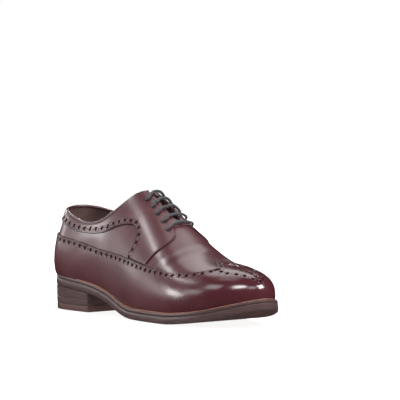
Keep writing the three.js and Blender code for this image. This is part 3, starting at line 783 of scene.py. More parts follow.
def add_strip(parts, layers, edge_dye_and_shade):
    """Strip through layers of points, each layer with its share of the edge's darkening: dyed edge with
    painted shade.
    """
    count = len(layers[0])
    faces = [face[::-1] for face in strip_faces(len(layers), count)]
    parts.add(np.vstack(layers), faces, edge=np.repeat(np.broadcast_to(edge_dye_and_shade, len(layers)), count))


def pinked_edge(parts, line):
    """Toothed strip along an edge, laid on the rim of its sheet."""
    tip = TOOTH_HEIGHT * np.abs(2 * ((line.at / TOOTH) % 1) - 1)
    # Inset, lift over the sheet and edge darkening (dyed edge with painted shade) of each layer, out to the
    # tips of the teeth
    rows = [
        (TOOTH_HEIGHT + 0.0012, 0.00001, 0.1), (TOOTH_HEIGHT + 0.0005, 0.00005, 0.5),
        (tip + 0.00018, 0.00003, 1.0), (tip, -0.00022, 1.0),
    ]
    layers = [laid(line, inset, OVERLAY + lift) for inset, lift, _ in rows]
    layers.append(laid(line, tip, OVERLAY_BASE))
    add_strip(parts, layers, [row[2] for row in rows] + [1.0])


def folded_edge(parts, line):
    """Plain rounded edge laid on the rim of its sheet."""
    # Inset, lift over the sheet and edge darkening (dyed edge with painted shade) of each layer
    rows = [
        (0.0022, 0.00001, 0), (0.0012, 0.00004, 0.4), (0.0004, -0.00003, 0.8), (0.0001, -0.00025, 1),
        (0.0, -0.0006, 1),
    ]
    layers = [laid(line, inset, OVERLAY + lift) for inset, lift, _ in rows]
    layers.append(laid(line, 0.0, OVERLAY_BASE))
    add_strip(parts, layers, [row[2] for row in rows] + [1])


def rolled_rim(parts):
    """Rounded edge of the opening, from the outer leather over to the lining."""
    line = Line(OPENING_LINE.places(), 0.0008)
    middle = (OVERLAY - WALL) / 2
    half = (OVERLAY + WALL) / 2 + 0.00003
    past = 0.12
    layers = []
    for turn in np.linspace(-past, math.pi + past, 13):
        side = min(max(turn, 0), math.pi)
        tail = 0.0012 * max(abs(turn - math.pi / 2) - math.pi / 2, 0) / past
        layers.append(laid(line, ROLL * (1 - math.sin(side)) + tail, middle + half * math.cos(side)))
    add_strip(parts, layers, 0.6)


def holes_along(places, spacing, offset):
    """Points at even steps along places on the last."""
    line = Line(places, spacing / 2)
    return read_off(np.arange(spacing * offset, line.at[-1], spacing), line.at, line.point)


def thread_tubes(parts, centre, normal, side, radius, sides):
    """One open tube through each row of centres, thinner where it dives into the leather."""
    count, stations = centre.shape[:2]
    angles = np.arange(sides) * 2 * math.pi / sides
    spoke = np.cos(angles)[:, None] * normal[:, :, None] + np.sin(angles)[:, None] * side[:, :, None]
    ring = centre[:, :, None] + (STITCH_SIZE * radius)[:, None, None] * spoke
    one = strip_faces(stations, sides, closed=True)
    faces = [tuple(k + i * stations * sides for k in face[::-1]) for i in range(count) for face in one]
    parts.add(ring.reshape(-1, 3), faces)


def stitches(parts, places, pitch=STITCH, radius=THREAD):
    """Row of thread stitches, each one arching out of its hole and back into the next."""
    line = Line(places, pitch / 4)
    number = int(line.at[-1] / pitch)
    if number < 1:
        return
    stations = np.array([0.06, 0.2, 0.5, 0.8, 0.94])
    arch = np.array([-1.3, 0.45, 0.8, 0.45, -1.3]) * radius
    at = (np.arange(number)[:, None] + stations) * pitch + (line.at[-1] - number * pitch) / 2
    point = read_off(at, line.at, line.point)
    normal = unit(read_off(at, line.at, line.normal))
    side = unit(np.cross(normal, unit(np.gradient(point, axis=1))))
    centre = point + normal * (OVERLAY + crease(point) + arch)[..., None]
    thread_tubes(parts, centre, normal, side, radius, 6)


def braided_cord(path, radius, sides, steps, twist, relief):
    """Round cord along a smooth path through points, with a braided relief."""
    path = np.array(path, float)
    gap = np.sqrt(np.linalg.norm(np.diff(path, axis=0), axis=1))
    knots = np.concatenate([[0], np.cumsum(np.maximum(gap, 1e-6))])
    tangent = np.gradient(path, knots, axis=0)
    at = np.linspace(0, knots[-1], steps * 4)
    i = np.clip(np.searchsorted(knots, at, side="right") - 1, 0, len(knots) - 2)
    width = (knots[i + 1] - knots[i])[:, None]
    share = (at - knots[i])[:, None] / width
    smooth = hermite(share, path[i], path[i + 1], tangent[i] * width, tangent[i + 1] * width)
    run = running_length(smooth)
    even = np.linspace(0, run[-1], steps + 1)
    centre = read_off(even, run, smooth)
    forward = unit(np.gradient(centre, axis=0))
    normal = unit(np.cross(forward[0], [0.3, 0.2, 1.0]))
    normals = []
    for direction in forward:
        normal = unit(normal - direction * np.dot(normal, direction))
        normals.append(normal)
    normals = np.array(normals)
    side = np.cross(forward, normals)
    angles = np.arange(sides) * 2 * math.pi / sides
    phase = twist * even[:, None]
    weave = 1 + relief * (np.cos(3 * angles + phase) * np.cos(3 * angles - phase))
    ring = centre[:, None] + radius * weave[..., None] * (
        np.cos(angles)[:, None] * normals[:, None] + np.sin(angles)[:, None] * side[:, None]
    )
    faces = strip_faces(steps + 1, sides, closed=True)
    faces += [tuple(range(sides))[::-1], tuple(range(steps * sides, (steps + 1) * sides))]
    return ring.reshape(-1, 3), faces


def sole_ring(columns, inset, height):
    """Outline of the sole at one inset and height over the underside, at the given columns."""
    at, _ = outline(columns, np.broadcast_to(inset, columns.shape))
    return np.column_stack([at, underside(at[:, 0]) + height])


def cap(ring, strips, height_of):
    """Grid across a closed ring, from its lateral half to its medial half, facing up."""
    half = len(ring) // 2
    lateral = ring[: half + 1]
    medial = ring[-np.arange(half + 1) % len(ring)]
    share = np.linspace(0, 1, strips + 1)[:, None, None]
    points = lateral * (1 - share) + medial * share
    points[..., 2] = height_of(points, share[..., 0])
    return points.reshape(-1, 3), strip_faces(strips + 1, half + 1)


def solid_rings(parts, rings, low_of, high_of, strips=24, **values):
    """Stack of closed rings with a grid across its first and its last ring."""
    parts.add(np.vstack(rings), strip_faces(len(rings), len(rings[0]), closed=True), **values)
    points, faces = cap(rings[0], strips, low_of)
    parts.add(points, [face[::-1] for face in faces], **values)
    points, faces = cap(rings[-1], strips, high_of)
    parts.add(points, faces, **values)


def flat_at(height):
    return lambda points, share: np.full(points.shape[:-1], height)


def under_at(height):
    return lambda points, share: underside(points[..., 0]) + height


def sole_columns(step=SOLE_STEP):
    return even_columns(step)[0]


def make_outsole(material):
    columns = sole_columns()
    channel = 0.0005
    # Inset and height of each ring, from the tread round the edge to the top
    profile = [
        (0.0075, 0), (0.0070, channel), (0.0062, channel), (0.0057, 0), (0.0022, 0), (0.0009, 0.0001),
        (0.0004, 0.0004), (0.0002, 0.0009), (0.0, SOLE / 2), (0.0001, SOLE - 0.0016),
    (0.0003, SOLE - 0.00045),
        (0.0007, SOLE), (0.004, SOLE),
    ]
    rings = [sole_ring(columns, inset, height) for inset, height in profile]
    parts = Parts()
    solid_rings(parts, rings, under_at(0), under_at(SOLE), strips=20)
    return parts.build("outsole_leather", material, ["outsole"], sharp=35)


def make_welt(material):
    """Strip over the sole's edge, notched across between the stitches."""
    columns = sole_columns(WELT_STEP)
    point = sole_ring(columns, 0.0, 0.0)
    notch = NOTCH * np.cos(math.pi * running_length(point) / WELT_STITCH) ** 8
    room = np.clip((ledge_of(point[:, 0] / LENGTH) - 0.0028) / 0.001, 0, 1)
    low = SOLE + GAP
    high = SOLE + WELT
    # Inset, height and share of the notches at each ring
    profile = [
        (WELT_WIDTH, low, 0), (0.0009, low, 0), (0.0006, low + 0.0003, 0), (0.0005, low + 0.0008, 0),
        (0.0005, high - 0.0006, 0), (0.0007, high - 0.0002, 1), (0.001, high, 1), (0.0016, high, 1),
        (0.0022, high, 0.4), (0.0028, high, 0), (WELT_WIDTH, high, 0),
    ]
    rings = []
    for inset, height, cut in profile:
        ring = sole_ring(columns, inset, height)
        ring[:, 2] -= notch * room * cut
        rings.append(ring)
    parts = Parts()
    parts.add(np.vstack(rings + rings[:1]), strip_faces(len(rings) + 1, len(columns), closed=True))
    return parts.build("welt_leather", material, ["welt"], sharp=40)


def make_welt_thread(material):
    """Tan stitches along the welt, from the waist round the toe to the other waist."""
    columns = sole_columns(WELT_STEP)
    at = outline(columns, np.zeros(len(columns)))[0]
    ledge = ledge_of(at[:, 0] / LENGTH)
    inset = 0.0007 + (ledge - OVERLAY - 0.0006) * 0.5
    path = sole_ring(columns, inset, SOLE + WELT)[at[:, 0] > WELT_SEAM_START]
    run = running_length(path)
    number = int(run[-1] / WELT_STITCH)
    stations = np.array([0.04, 0.16, 0.5, 0.84, 0.96])
    point = read_off((np.arange(number)[:, None] + stations) * WELT_STITCH, run, path)
    point[..., 2] += np.array([-1.2, 0.35, 0.6, 0.35, -1.2]) * WELT_CORD
    forward = unit(np.gradient(point, axis=1))
    side = unit(np.cross([0, 0, 1.0], forward))
    parts = Parts()
    thread_tubes(parts, point, np.cross(forward, side), side, WELT_CORD, 8)
    return parts.build("welt_thread", material)


def tip_cut(y, gap):
    """Slanting cut between the leather top lift and its rubber corner."""
    return RUBBER_TIP + TIP_POINT + gap - TIP_SLANT * np.abs(y)


def heel_ring(height, groove, far, near=None, clip=False):
    """Closed ring of the heel at one height, between its back or a near cut and a far cut."""
    fine = np.linspace(0, HEEL_REACH, 2401)
    sides = []
    for places in (fine, (ROUND - fine) % ROUND):
        top = underside(edge_x(places)) - GAP if clip else np.full(fine.shape, SEAT)
        level = np.minimum(height, top)
        inset = HEEL_INSET + HEEL_TAPER * (1 - level / SEAT) + np.where(height < top - 0.0002, groove, 0)
        at = outline(places, inset)[0]
        stop = np.interp(0, at[:, 0] - far(at[:, 1]), fine)
        start = 0 if near is None else np.interp(0, at[:, 0] - near(at[:, 1]), fine)
        sides.append(read_off(np.linspace(start, stop, 60), fine, np.column_stack([at, level])))
    out, back = sides[0], sides[1][::-1]

    def across(first, last, cut):
        row = np.linspace(first, last, 23)[1:-1]
        row[:, 0] = cut(row[:, 1])
        return row

    loop = [out, across(out[-1], back[0], far)]
    loop += [back[:-1]] if near is None else [back, across(back[-1], out[0], near)]
    return np.vstack(loop)


def breast(y):
    return np.full(np.shape(y), HEEL_LENGTH)


def make_heel_stack(material):
    """Leather lifts under the seat with a groove at each joint."""
    lift = (SEAT - TOP_LIFT) / LIFTS
    rows = [(TOP_LIFT + GAP, GROOVE)]
    for i in range(LIFTS):
        floor = TOP_LIFT + GAP + i * lift
        rows += [(floor + 0.00025, 0.00004), (floor + 0.0006, 0), (floor + lift / 2, 0)]
        rows += [(floor + lift - 0.0006, 0), (floor + lift - 0.00025, 0.00004), (floor + lift, GROOVE)]
    rows = [row for row in rows if row[0] < SEAT - GAP] + [(SEAT - GAP, GROOVE)]
    rings = [heel_ring(height, groove, breast, clip=True) for height, groove in rows]
    parts = Parts()

    def seat(points, share):
        return np.minimum(SEAT - GAP, underside(points[..., 0]) - GAP)

    solid_rings(parts, rings, flat_at(TOP_LIFT + GAP), seat, strips=16)
    return parts.build("heel_lifts", material, ["heel_stack"], sharp=40)


def make_top_lift(name, solid, material, far, near):
    """One part of the lowest lift, between a near and a far cut."""
    # Height of each ring and how far it stands in
    rows = [
        (0, 0.0006), (0.0002, 0.0002), (0.0006, 0), (TOP_LIFT / 2, 0), (TOP_LIFT - 0.0006, 0),
        (TOP_LIFT - 0.0002, 0.00006), (TOP_LIFT, GROOVE),
    ]
    rings = [heel_ring(height, groove, far, near) for height, groove in rows]
    parts = Parts()
    solid_rings(parts, rings, flat_at(0), flat_at(TOP_LIFT), strips=16)
    return parts.build(name, material, [solid], sharp=40)


def make_insole(material):
    """Insole with its sock: a shallow dish whose rim meets the lining."""
    columns = sole_columns(COARSE)
    base = SOLE + GAP
    shelf = SOLE + WELT + GAP
    top = shelf + INSOLE
    foot = shell_point(columns, np.zeros(len(columns)), -WALL - GAP)

    def wide(height, inset):
        inner = foot[:, :2] - unit(foot[:, :2] * (0, 1)) * inset
        return np.column_stack([inner, underside(foot[:, 0]) + height])

    rings = [sole_ring(columns, WELT_WIDTH + GAP, base), sole_ring(columns, WELT_WIDTH + GAP, shelf)]
    rings += [wide(shelf, 0), wide(top - 0.0004, 0), wide(top, 0.0004), wide(top - 0.0001, 0.002)]

    def dish(points, share):
        return underside(points[..., 0]) + top - 0.0001 - DISH * np.sin(math.pi * share) ** 0.6

    parts = Parts()
    solid_rings(parts, rings, under_at(base), dish, strips=30)
    return parts.build("sock_lining", material, ["insole"])


def smoothstep(value, low, high):
    share = np.clip((value - low) / (high - low), 0, 1)
    return share * share * (3 - 2 * share)


def make_tongue(material):
    """Tongue behind the facings, thinned to a soft edge, dipping under the lace."""
    start = 5.3  # section by the collar
    end = 9.5  # section under the vamp
    rows = 151
    columns = 81
    s, u = np.meshgrid(np.linspace(start, end, rows), np.linspace(-1, 1, columns), indexing="ij")
    s, u = s.ravel(), u.ravel()
    t = np.where(u < 0, s, ROUND - s)
    point, normal, _, _ = last_frame(t, 1 - np.abs(u) * TONGUE_REACH)
    lowered = WALL + GAP + 2 * (LACE + SLACK) + GAP
    blend = smoothstep(s, 8.7, 9.4)
    rise = 1 - smoothstep(np.abs(u), 0.1, 0.42)
    depth = (lowered - TONGUE_RISE * rise) * (1 - blend) + (WALL + GAP) * blend
    above = polygon_distance(point[:, 0], point[:, 2] + TONGUE_DROP, OPEN_SHAPE)
    field = np.maximum(-above, np.maximum(start + 0.01 - s, s - end + 0.01) * 0.02)
    field = np.maximum(field, (np.abs(u) - 0.99) * 0.03)
    ids = np.arange(rows * columns).reshape(rows, columns)
    cells = np.stack([ids[:-1, :-1], ids[1:, :-1], ids[1:, 1:], ids[:-1, 1:]], -1).reshape(-1, 4)
    data = [point, normal, np.stack([depth, -field], -1)]
    (point, normal, extra), faces, border = march(cells, field, data)
    normal = unit(normal)
    thin = 0.0006 * np.clip(1 - np.clip(extra[:, 1], 0, None) / 0.0015, 0, 1) ** 2
    ripple = 0.00012 * np.sin(point[:, 0] * 900) * np.sin(point[:, 1] * 500)
    outer = point - normal * (extra[:, 0] + thin + ripple)[:, None]
    inner = point - normal * (extra[:, 0] + TONGUE - thin)[:, None]
    parts = Parts()
    parts.add(outer, faces)
    parts.add(inner, [face[::-1] for face in faces])
    add_walls(parts, border, outer, inner)
    return parts.build("tongue_leather", material, ["tongue"], sharp=60)


def eyelet_places():
    """Places of the lateral and the medial eyelet of each pair."""
    pairs = []
    for share, lateral, medial in EYELETS:
        x = share * LENGTH
        middle = crown_line(x)
        pairs.append([place_at(x, middle - lateral), place_at(x - CROSSING, middle + medial)])
    return pairs


def make_lace(material, pairs):
    """Five straight bars over the facings, joined behind them on one side and then the other."""
    over = OVERLAY + GAP + LACE + SLACK
    under = -WALL - GAP - LACE - SLACK
    path = []

    def spot(t, v):
        point, normal, _, _ = last_frame(np.array([t]), np.array([v]))
        return point[0], normal[0]

    def add(place, height, toward, shift):
        flat = unit(toward - place[1] * np.dot(toward, place[1]))
        path.append(place[0] + place[1] * height + flat * shift)

    spots = [[spot(t, v) for t, v in pair] for pair in pairs]
    for i, pair in enumerate(spots):
        first = i % 2
        start, stop = pair[first], pair[1 - first]
        across = unit(stop[0] - start[0])
        if i:
            add(start, under, spots[i - 1][first][0] - start[0], BEND)
        add(start, -WALL, across, 0)
        add(start, OVERLAY, across, 0)
        add(start, over, across, BEND)
        for share in BAR_STATIONS:
            x, y, _ = start[0] * (1 - share) + stop[0] * share
            point, normal = spot(*place_at(x, y))
            path.append(point + normal * over)
        add(stop, over, across, -BEND)
        add(stop, OVERLAY, across, 0)
        add(stop, -WALL, across, 0)
        if i + 1 < len(spots):
            add(stop, under, spots[i + 1][1 - first][0] - stop[0], BEND)
    parts = Parts()
    parts.add(*braided_cord(path, LACE, sides=20, steps=900, twist=BRAID_TWIST, relief=BRAID_RELIEF))
    return parts.build("lace_cord", material, ["lace"], sharp=80)


# Edge lines of the panels on the last
WING_LINE = Line(trace(wing_field), LINE_STEP)
FACING_LINE = Line(trace(facing_field), LINE_STEP)
OPENING_LINE = Line(trace(opening_field), LINE_STEP)
# The facings' edge where it lies clear of the wing: the collar band's part and the front's part
CLEAR_EDGES = FACING_LINE.stretches(wing_field(FACING_LINE.point) > WING_CLEARANCE)
CLEAR_EDGES.sort(key=lambda places: last_point(places[:, 0], places[:, 1])[:, 0].min())
BAND_LINE = Line(CLEAR_EDGES[0], LINE_STEP)
FRONT_LINE = Line(CLEAR_EDGES[-1], LINE_STEP)

# Toe medallion: x in metres, metres off the crown line on both sides, large or small
MEDALLION = [
    (0.2850, 0, 1), (0.2912, 0, 1), (0.2790, 0, 1), (0.2815, 0.0105, 1), (0.2750, 0.0165, 1),
    (0.2680, 0.0215, 1), (0.2730, 0.0060, 1), (0.2880, 0.0060, 1),
    (0.2820, 0.0035, 0), (0.2882, 0.0030, 0), (0.2764, 0.0030, 0), (0.2852, 0.0050, 0), (0.2848, 0.0088, 0),
    (0.2790, 0.0072, 0), (0.2786, 0.0138, 0), (0.2718, 0.0190, 0), (0.2700, 0.0040, 0), (0.2700, 0.0088, 0),
    (0.2742, 0.0108, 0), (0.2940, 0.0025, 0), (0.2760, 0.0200, 0), (0.2700, 0, 0),
    (0.2612, 0.0235, 1), (0.2542, 0.0250, 1), (0.2472, 0.0262, 1), (0.2646, 0.0226, 0), (0.2577, 0.0243, 0),
    (0.2507, 0.0256, 0), (0.2625, 0.0266, 0), (0.2694, 0.0250, 0), (0.2762, 0.0225, 0), (0.2556, 0.0280, 0),
    (0.2604, 0.0204, 0), (0.2535, 0.0220, 0), (0.2466, 0.0232, 0),
]


def medallion_places():
    """Centres of the large and of the small holes of the toe medallion."""
    large = []
    small = []
    for x, off, is_large in MEDALLION:
        for side in {off, -off}:
            t, v = place_at(x, crown_line(0.27) + side)
            (large if is_large else small).append(last_point(t, v))
    return np.array(large), np.array(small)


def punch_row(line):
    """Large holes at even steps beside an edge with two small holes between each pair."""
    places = line.beside(PUNCH_INSET)
    small = [holes_along(places, PUNCH_STEP, 1 + share) for share in (-PIN_SPREAD, PIN_SPREAD)]
    return holes_along(places, PUNCH_STEP, 0.5), np.vstack(small)


def panel_rows(parts, line, insets):
    """Rows of stitches beside an edge."""
    for inset in insets:
        stitches(parts, line.beside(inset))


def make_vamp(leather, outer, eyelets):
    """Upper under the overlays, with its eyelet holes."""
    grid = refined(outer, eyelets)
    panel = edge_distance(grid, opening_field, OPENING_LINE) + ROLL
    parts = Parts()
    leather_sheet(parts, grid, panel, punched(grid, (eyelets, EYELET_CUT)), 0.0, -WALL / 2)
    parts.build("vamp_and_quarters", leather, ["upper"])


def make_lining(lining, eyelets):
    """Inside of the upper, up to the rolled edge."""
    grid = refined(make_grid(COARSE), eyelets)
    panel = edge_distance(grid, opening_field, OPENING_LINE) + ROLL - 0.0004
    parts = Parts()
    leather_sheet(parts, grid, panel, punched(grid, (eyelets, EYELET_CUT)), -WALL)
    parts.build("quarter_lining", lining)


def make_wing(leather, outer, seams):
    """Wing tip with its holes, its toothed edge and its stitches."""
    large, small = [np.vstack(both) for both in zip(punch_row(WING_LINE), medallion_places())]
    grid = refined(outer, np.vstack([large, small]))
    panel = edge_distance(grid, wing_field, WING_LINE) + SHEET_INSET
    parts = Parts()
    holes = punched(grid, (large, PUNCH), (small, PIN_PUNCH))
    leather_sheet(parts, grid, panel, holes, OVERLAY, OVERLAY_BASE)
    pinked_edge(parts, WING_LINE)
    parts.build("wing_tip", leather, ["wing"])
    panel_rows(seams, WING_LINE, WING_SEAMS)


def make_facings(leather, outer, eyelets, seams):
    """Collar band, arch and lace facings, with the rolled edge of the opening."""
    large, small = punch_row(BAND_LINE)
    grid = refined(outer, np.vstack([large, small, eyelets]))
    facing = edge_distance(grid, facing_field, FACING_LINE) + SHEET_INSET
    clear = GAP - edge_distance(grid, wing_field, WING_LINE)
    opening = edge_distance(grid, opening_field, OPENING_LINE) + ROLL
    panel = np.max([facing, clear, opening], axis=0)
    holes = punched(grid, (large, PUNCH), (small, PIN_PUNCH), (eyelets, EYELET_CUT))
    parts = Parts()
    leather_sheet(parts, grid, panel, holes, OVERLAY, OVERLAY_BASE)
    pinked_edge(parts, BAND_LINE)
    folded_edge(parts, FRONT_LINE)
    rolled_rim(parts)
    parts.build("collar_and_facings", leather, ["facings"])
    panel_rows(seams, BAND_LINE, BAND_SEAMS)
    panel_rows(seams, FRONT_LINE, FRONT_SEAMS)
    panel_rows(seams, OPENING_LINE, OPENING_SEAMS)


def make_uppers(leather, lining, thread, pairs):
    """Upper, lining and overlays, with one mesh for all their stitches."""
    eyelets = np.array([last_point(t, v) for pair in pairs for t, v in pair])
    outer = make_grid(FINE)
    seams = Parts()
    make_vamp(leather, outer, eyelets)
    make_lining(lining, eyelets)
    make_wing(leather, outer, seams)
    make_facings(leather, outer, eyelets, seams)
    seams.build("upper_stitching", thread)


def make_bar_tacks(thread):
    """Small bar of close stitches at the foot of each facing's front edge."""
    marks = [BAR_START + 2 * k for k in range(BAR_STITCHES)]
    parts = Parts()
    for at in marks + [-1 - mark for mark in marks]:
        t, v, inward = FRONT_LINE.t[at], FRONT_LINE.v[at], FRONT_LINE.inward[at]
        ends = [step_on(t, v, inward, inset) for inset in BAR_TACK]
        stitches(parts, np.array(ends), pitch=BAR_PITCH, radius=BAR_THREAD)
    return parts.build("bar_tacks", thread)


def node(tree, kind, **settings):
    """Shader node with settings given to its sockets, or else to itself."""
    made = tree.nodes.new(kind)
    for key, value in settings.items():
        if key in made.inputs:
            made.inputs[key].default_value = value
        else:
            setattr(made, key, value)
    return made


def own_place(tree):
    """The shoe's own coordinates."""
    return node(tree, "ShaderNodeTexCoord").outputs["Object"]


def noise(tree, scale, detail=3.0, stretch=None):
    """Noise in the shoe's own coordinates, stretched if asked."""
    place = own_place(tree)
    made = node(tree, "ShaderNodeTexNoise", Scale=scale, Detail=detail)
    if stretch:
        mapping = node(tree, "ShaderNodeMapping", Scale=stretch)
        tree.links.new(place, mapping.inputs["Vector"])
        place = mapping.outputs["Vector"]
    tree.links.new(place, made.inputs["Vector"])
    return made.outputs["Fac"]


def blend(tree, share, first, second):
    """Colour between two colours, each given or already made by nodes."""
    mix = node(tree, "ShaderNodeMix", data_type="RGBA")
    tree.links.new(share, mix.inputs["Factor"])
    for name, value in (("A", first), ("B", second)):
        socket = [i for i in mix.inputs if i.name == name and i.type == "RGBA"][0]
        if isinstance(value, tuple):
            socket.default_value = (*value, 1)
        else:
            tree.links.new(value, socket)
    return [o for o in mix.outputs if o.type == "RGBA"][0]


def spread_range(tree, value, low, high, to_low, to_high):
    """Value stretched from one range to another, and held at its ends."""
    made = node(tree, "ShaderNodeMapRange")
    for key, number in (("From Min", low), ("From Max", high), ("To Min", to_low), ("To Max", to_high)):
        made.inputs[key].default_value = number
    tree.links.new(value, made.inputs["Value"])
    return made.outputs["Result"]


def add_bump(tree, shader, heights):
    """Bumps one over another, as pairs of a height and its depth in metres."""
    last = None
    for height, depth in heights:
        bump = node(tree, "ShaderNodeBump", Strength=1.0, Distance=depth)
        tree.links.new(height, bump.inputs["Height"])
        if last:
            tree.links.new(last, bump.inputs["Normal"])
        last = bump.outputs["Normal"]
    tree.links.new(last, shader.inputs["Normal"])


def new_material(name, **settings):
    """Material with settings for its main shader, its node tree and that shader."""
    material = bpy.data.materials.new(name)
    material.use_nodes = True
    shader = material.node_tree.nodes["Principled BSDF"]
    for key, value in settings.items():
        shader.inputs[key.replace("_", " ")].default_value = value
    return material, material.node_tree, shader


# Colours of the waxed calf
OXBLOOD_DARK = (0.078, 0.019, 0.025)
OXBLOOD_LIGHT = (0.105, 0.028, 0.034)
OXBLOOD_FLECK = (0.055, 0.011, 0.016)
# painted darkness standing in for the polished toe's dark reflections
OXBLOOD_TOE_SHADE = (0.050, 0.008, 0.012)
# dyed cut edges, also the painted shade inside the holes
OXBLOOD_EDGE_AND_SHADE = (0.026, 0.006, 0.009)
TOE_POLISH_AND_SHADE = (0.03, 0.135)  # where the toe's polish and its painted darkness for reflections start and are full, ahead of the shoe's middle


def polished_leather():
    """Oxblood calf: deep burgundy under wax, glossier toward the toe with painted darkness there for its
    reflections, darker at dyed cut edges with painted shade in the holes.
    """
    material, tree, shader = new_material(
        "oxblood_calf", Coat_Weight=0.35, Coat_Roughness=0.16, Coat_IOR=1.5, IOR=1.55,
        Specular_IOR_Level=0.55,
    )
    cloud = spread_range(tree, noise(tree, 22.0, 4.0), 0.35, 0.68, 0, 1)
    body = blend(tree, cloud, OXBLOOD_DARK, OXBLOOD_LIGHT)
    fleck = spread_range(tree, noise(tree, 420.0, 2.0), 0.5, 0.8, 0, 0.4)
    body = blend(tree, fleck, body, OXBLOOD_FLECK)
    split = node(tree, "ShaderNodeSeparateXYZ")
    tree.links.new(own_place(tree), split.inputs["Vector"])
    # Toward the toe: lower roughness for the polish, and a colour painted darker for the toe's dark
    # reflections
    toe = spread_range(tree, split.outputs["X"], *TOE_POLISH_AND_SHADE, 0, 1)
    body = blend(tree, spread_range(tree, toe, 0, 1, 0, 0.5), body, OXBLOOD_TOE_SHADE)
    # Dyed cut edges and painted shade in the holes, read from the edge attribute
    edge = node(tree, "ShaderNodeAttribute", attribute_name="edge")
    edge_dye_and_shade = spread_range(tree, edge.outputs["Fac"], 0.0, 1.0, 0, 0.8)
    body = blend(tree, edge_dye_and_shade, body, OXBLOOD_EDGE_AND_SHADE)
    tree.links.new(body, shader.inputs["Base Color"])
    cloudy = spread_range(tree, noise(tree, 45.0, 3.0), 0.3, 0.7, 0.31, 0.40)
    less = node(tree, "ShaderNodeMath", operation="MULTIPLY_ADD")
    tree.links.new(toe, less.inputs[0])
    less.inputs[1].default_value = -0.16
    tree.links.new(cloudy, less.inputs[2])
    tree.links.new(less.outputs["Value"], shader.inputs["Roughness"])
    add_bump(tree, shader, [(noise(tree, 1500.0, 2.0), 0.00003), (noise(tree, 210.0, 3.0), 0.00004)])
    return material


def plain_leather(name, first, second, scale, roughness, depth, stretch=None, coat=0.0):
    """Leather of two close tones with its own grain."""
    material, tree, shader = new_material(name, Coat_Weight=coat, Coat_Roughness=0.25)
    tone = spread_range(tree, noise(tree, scale, 4.0, stretch), 0.35, 0.68, 0, 1)
    tree.links.new(blend(tree, tone, first, second), shader.inputs["Base Color"])
    rough = spread_range(tree, noise(tree, scale * 3, 3.0), 0.3, 0.7, roughness - 0.06, roughness + 0.08)
    tree.links.new(rough, shader.inputs["Roughness"])
    grains = [noise(tree, 1300.0, 2.0, stretch), noise(tree, 320.0, 3.0, stretch)]
    add_bump(tree, shader, [(grain, depth) for grain in grains])
    return material


def cord_material(name, first, second, scale, roughness):
    """Twisted yarn with painted shade: darker in the grooves between its strands, lighter on the raised
    strands.
    """
    material, tree, shader = new_material(name, Sheen_Weight=0.25, Sheen_Roughness=0.5)
    wave = node(tree, "ShaderNodeTexWave", Scale=scale, Distortion=3.0, wave_type="BANDS")
    wave.bands_direction = "DIAGONAL"
    tree.links.new(own_place(tree), wave.inputs["Vector"])
    # Colour follows the bump: painted shade in the grooves, lighter on the raised strands
    tree.links.new(blend(tree, wave.outputs["Fac"], first, second), shader.inputs["Base Color"])
    rough = spread_range(tree, noise(tree, scale, 2.0), 0.3, 0.7, roughness - 0.08, roughness + 0.08)
    tree.links.new(rough, shader.inputs["Roughness"])
    add_bump(tree, shader, [(wave.outputs["Fac"], 0.00008)])
    return material


# Camera at the photograph's angle, in metres from the middle of the shoe
AZIMUTH = math.radians(51.2)
ELEVATION = math.radians(3.5)
CAMERA_DISTANCE = 3.0
LENS = 271.3  # focal length in millimetres
AIM_HEIGHT = 0.045  # height of the shoe's middle
AIM_RIGHT = 0.0375  # how far the camera stands to the right of that middle
AIM_UP = 0.0706  # and how far above it


def make_camera():
    """Camera aimed so that the shoe takes its place in the photograph's frame."""
    back = Vector((math.sin(AZIMUTH) * math.cos(ELEVATION), -math.cos(AZIMUTH) * math.cos(ELEVATION),
                   math.sin(ELEVATION)))
    right = Vector((math.cos(AZIMUTH), math.sin(AZIMUTH), 0))
    middle = Vector(to_frame([LENGTH / 2, 0, AIM_HEIGHT]).tolist())
    data = bpy.data.cameras.new("camera")
    data.sensor_width = 36
    data.lens = LENS
    data.clip_end = 60
    camera = bpy.data.objects.new("camera", data)
    bpy.context.scene.collection.objects.link(camera)
    camera.location = middle + back * CAMERA_DISTANCE + right * AIM_RIGHT + back.cross(right) * AIM_UP
    camera.rotation_mode = "QUATERNION"
    camera.rotation_quaternion = (-back).to_track_quat("-Z", "Y")
    bpy.context.scene.camera = camera


def softbox(name, place, width, height, power):
    """Rectangular area light aimed at the shoe."""
    data = bpy.data.lights.new(name, "AREA")
    data.shape = "RECTANGLE"
    data.size = width
    data.size_y = height
    data.energy = power
    lamp = bpy.data.objects.new(name, data)
    bpy.context.scene.collection.objects.link(lamp)
    lamp.location = place
    lamp.rotation_mode = "QUATERNION"
    lamp.rotation_quaternion = (Vector(LIGHT_AIM) - Vector(place)).to_track_quat("-Z", "Y")


LIGHT_AIM = (0.03, 0, 0.05)  # middle of the shoe

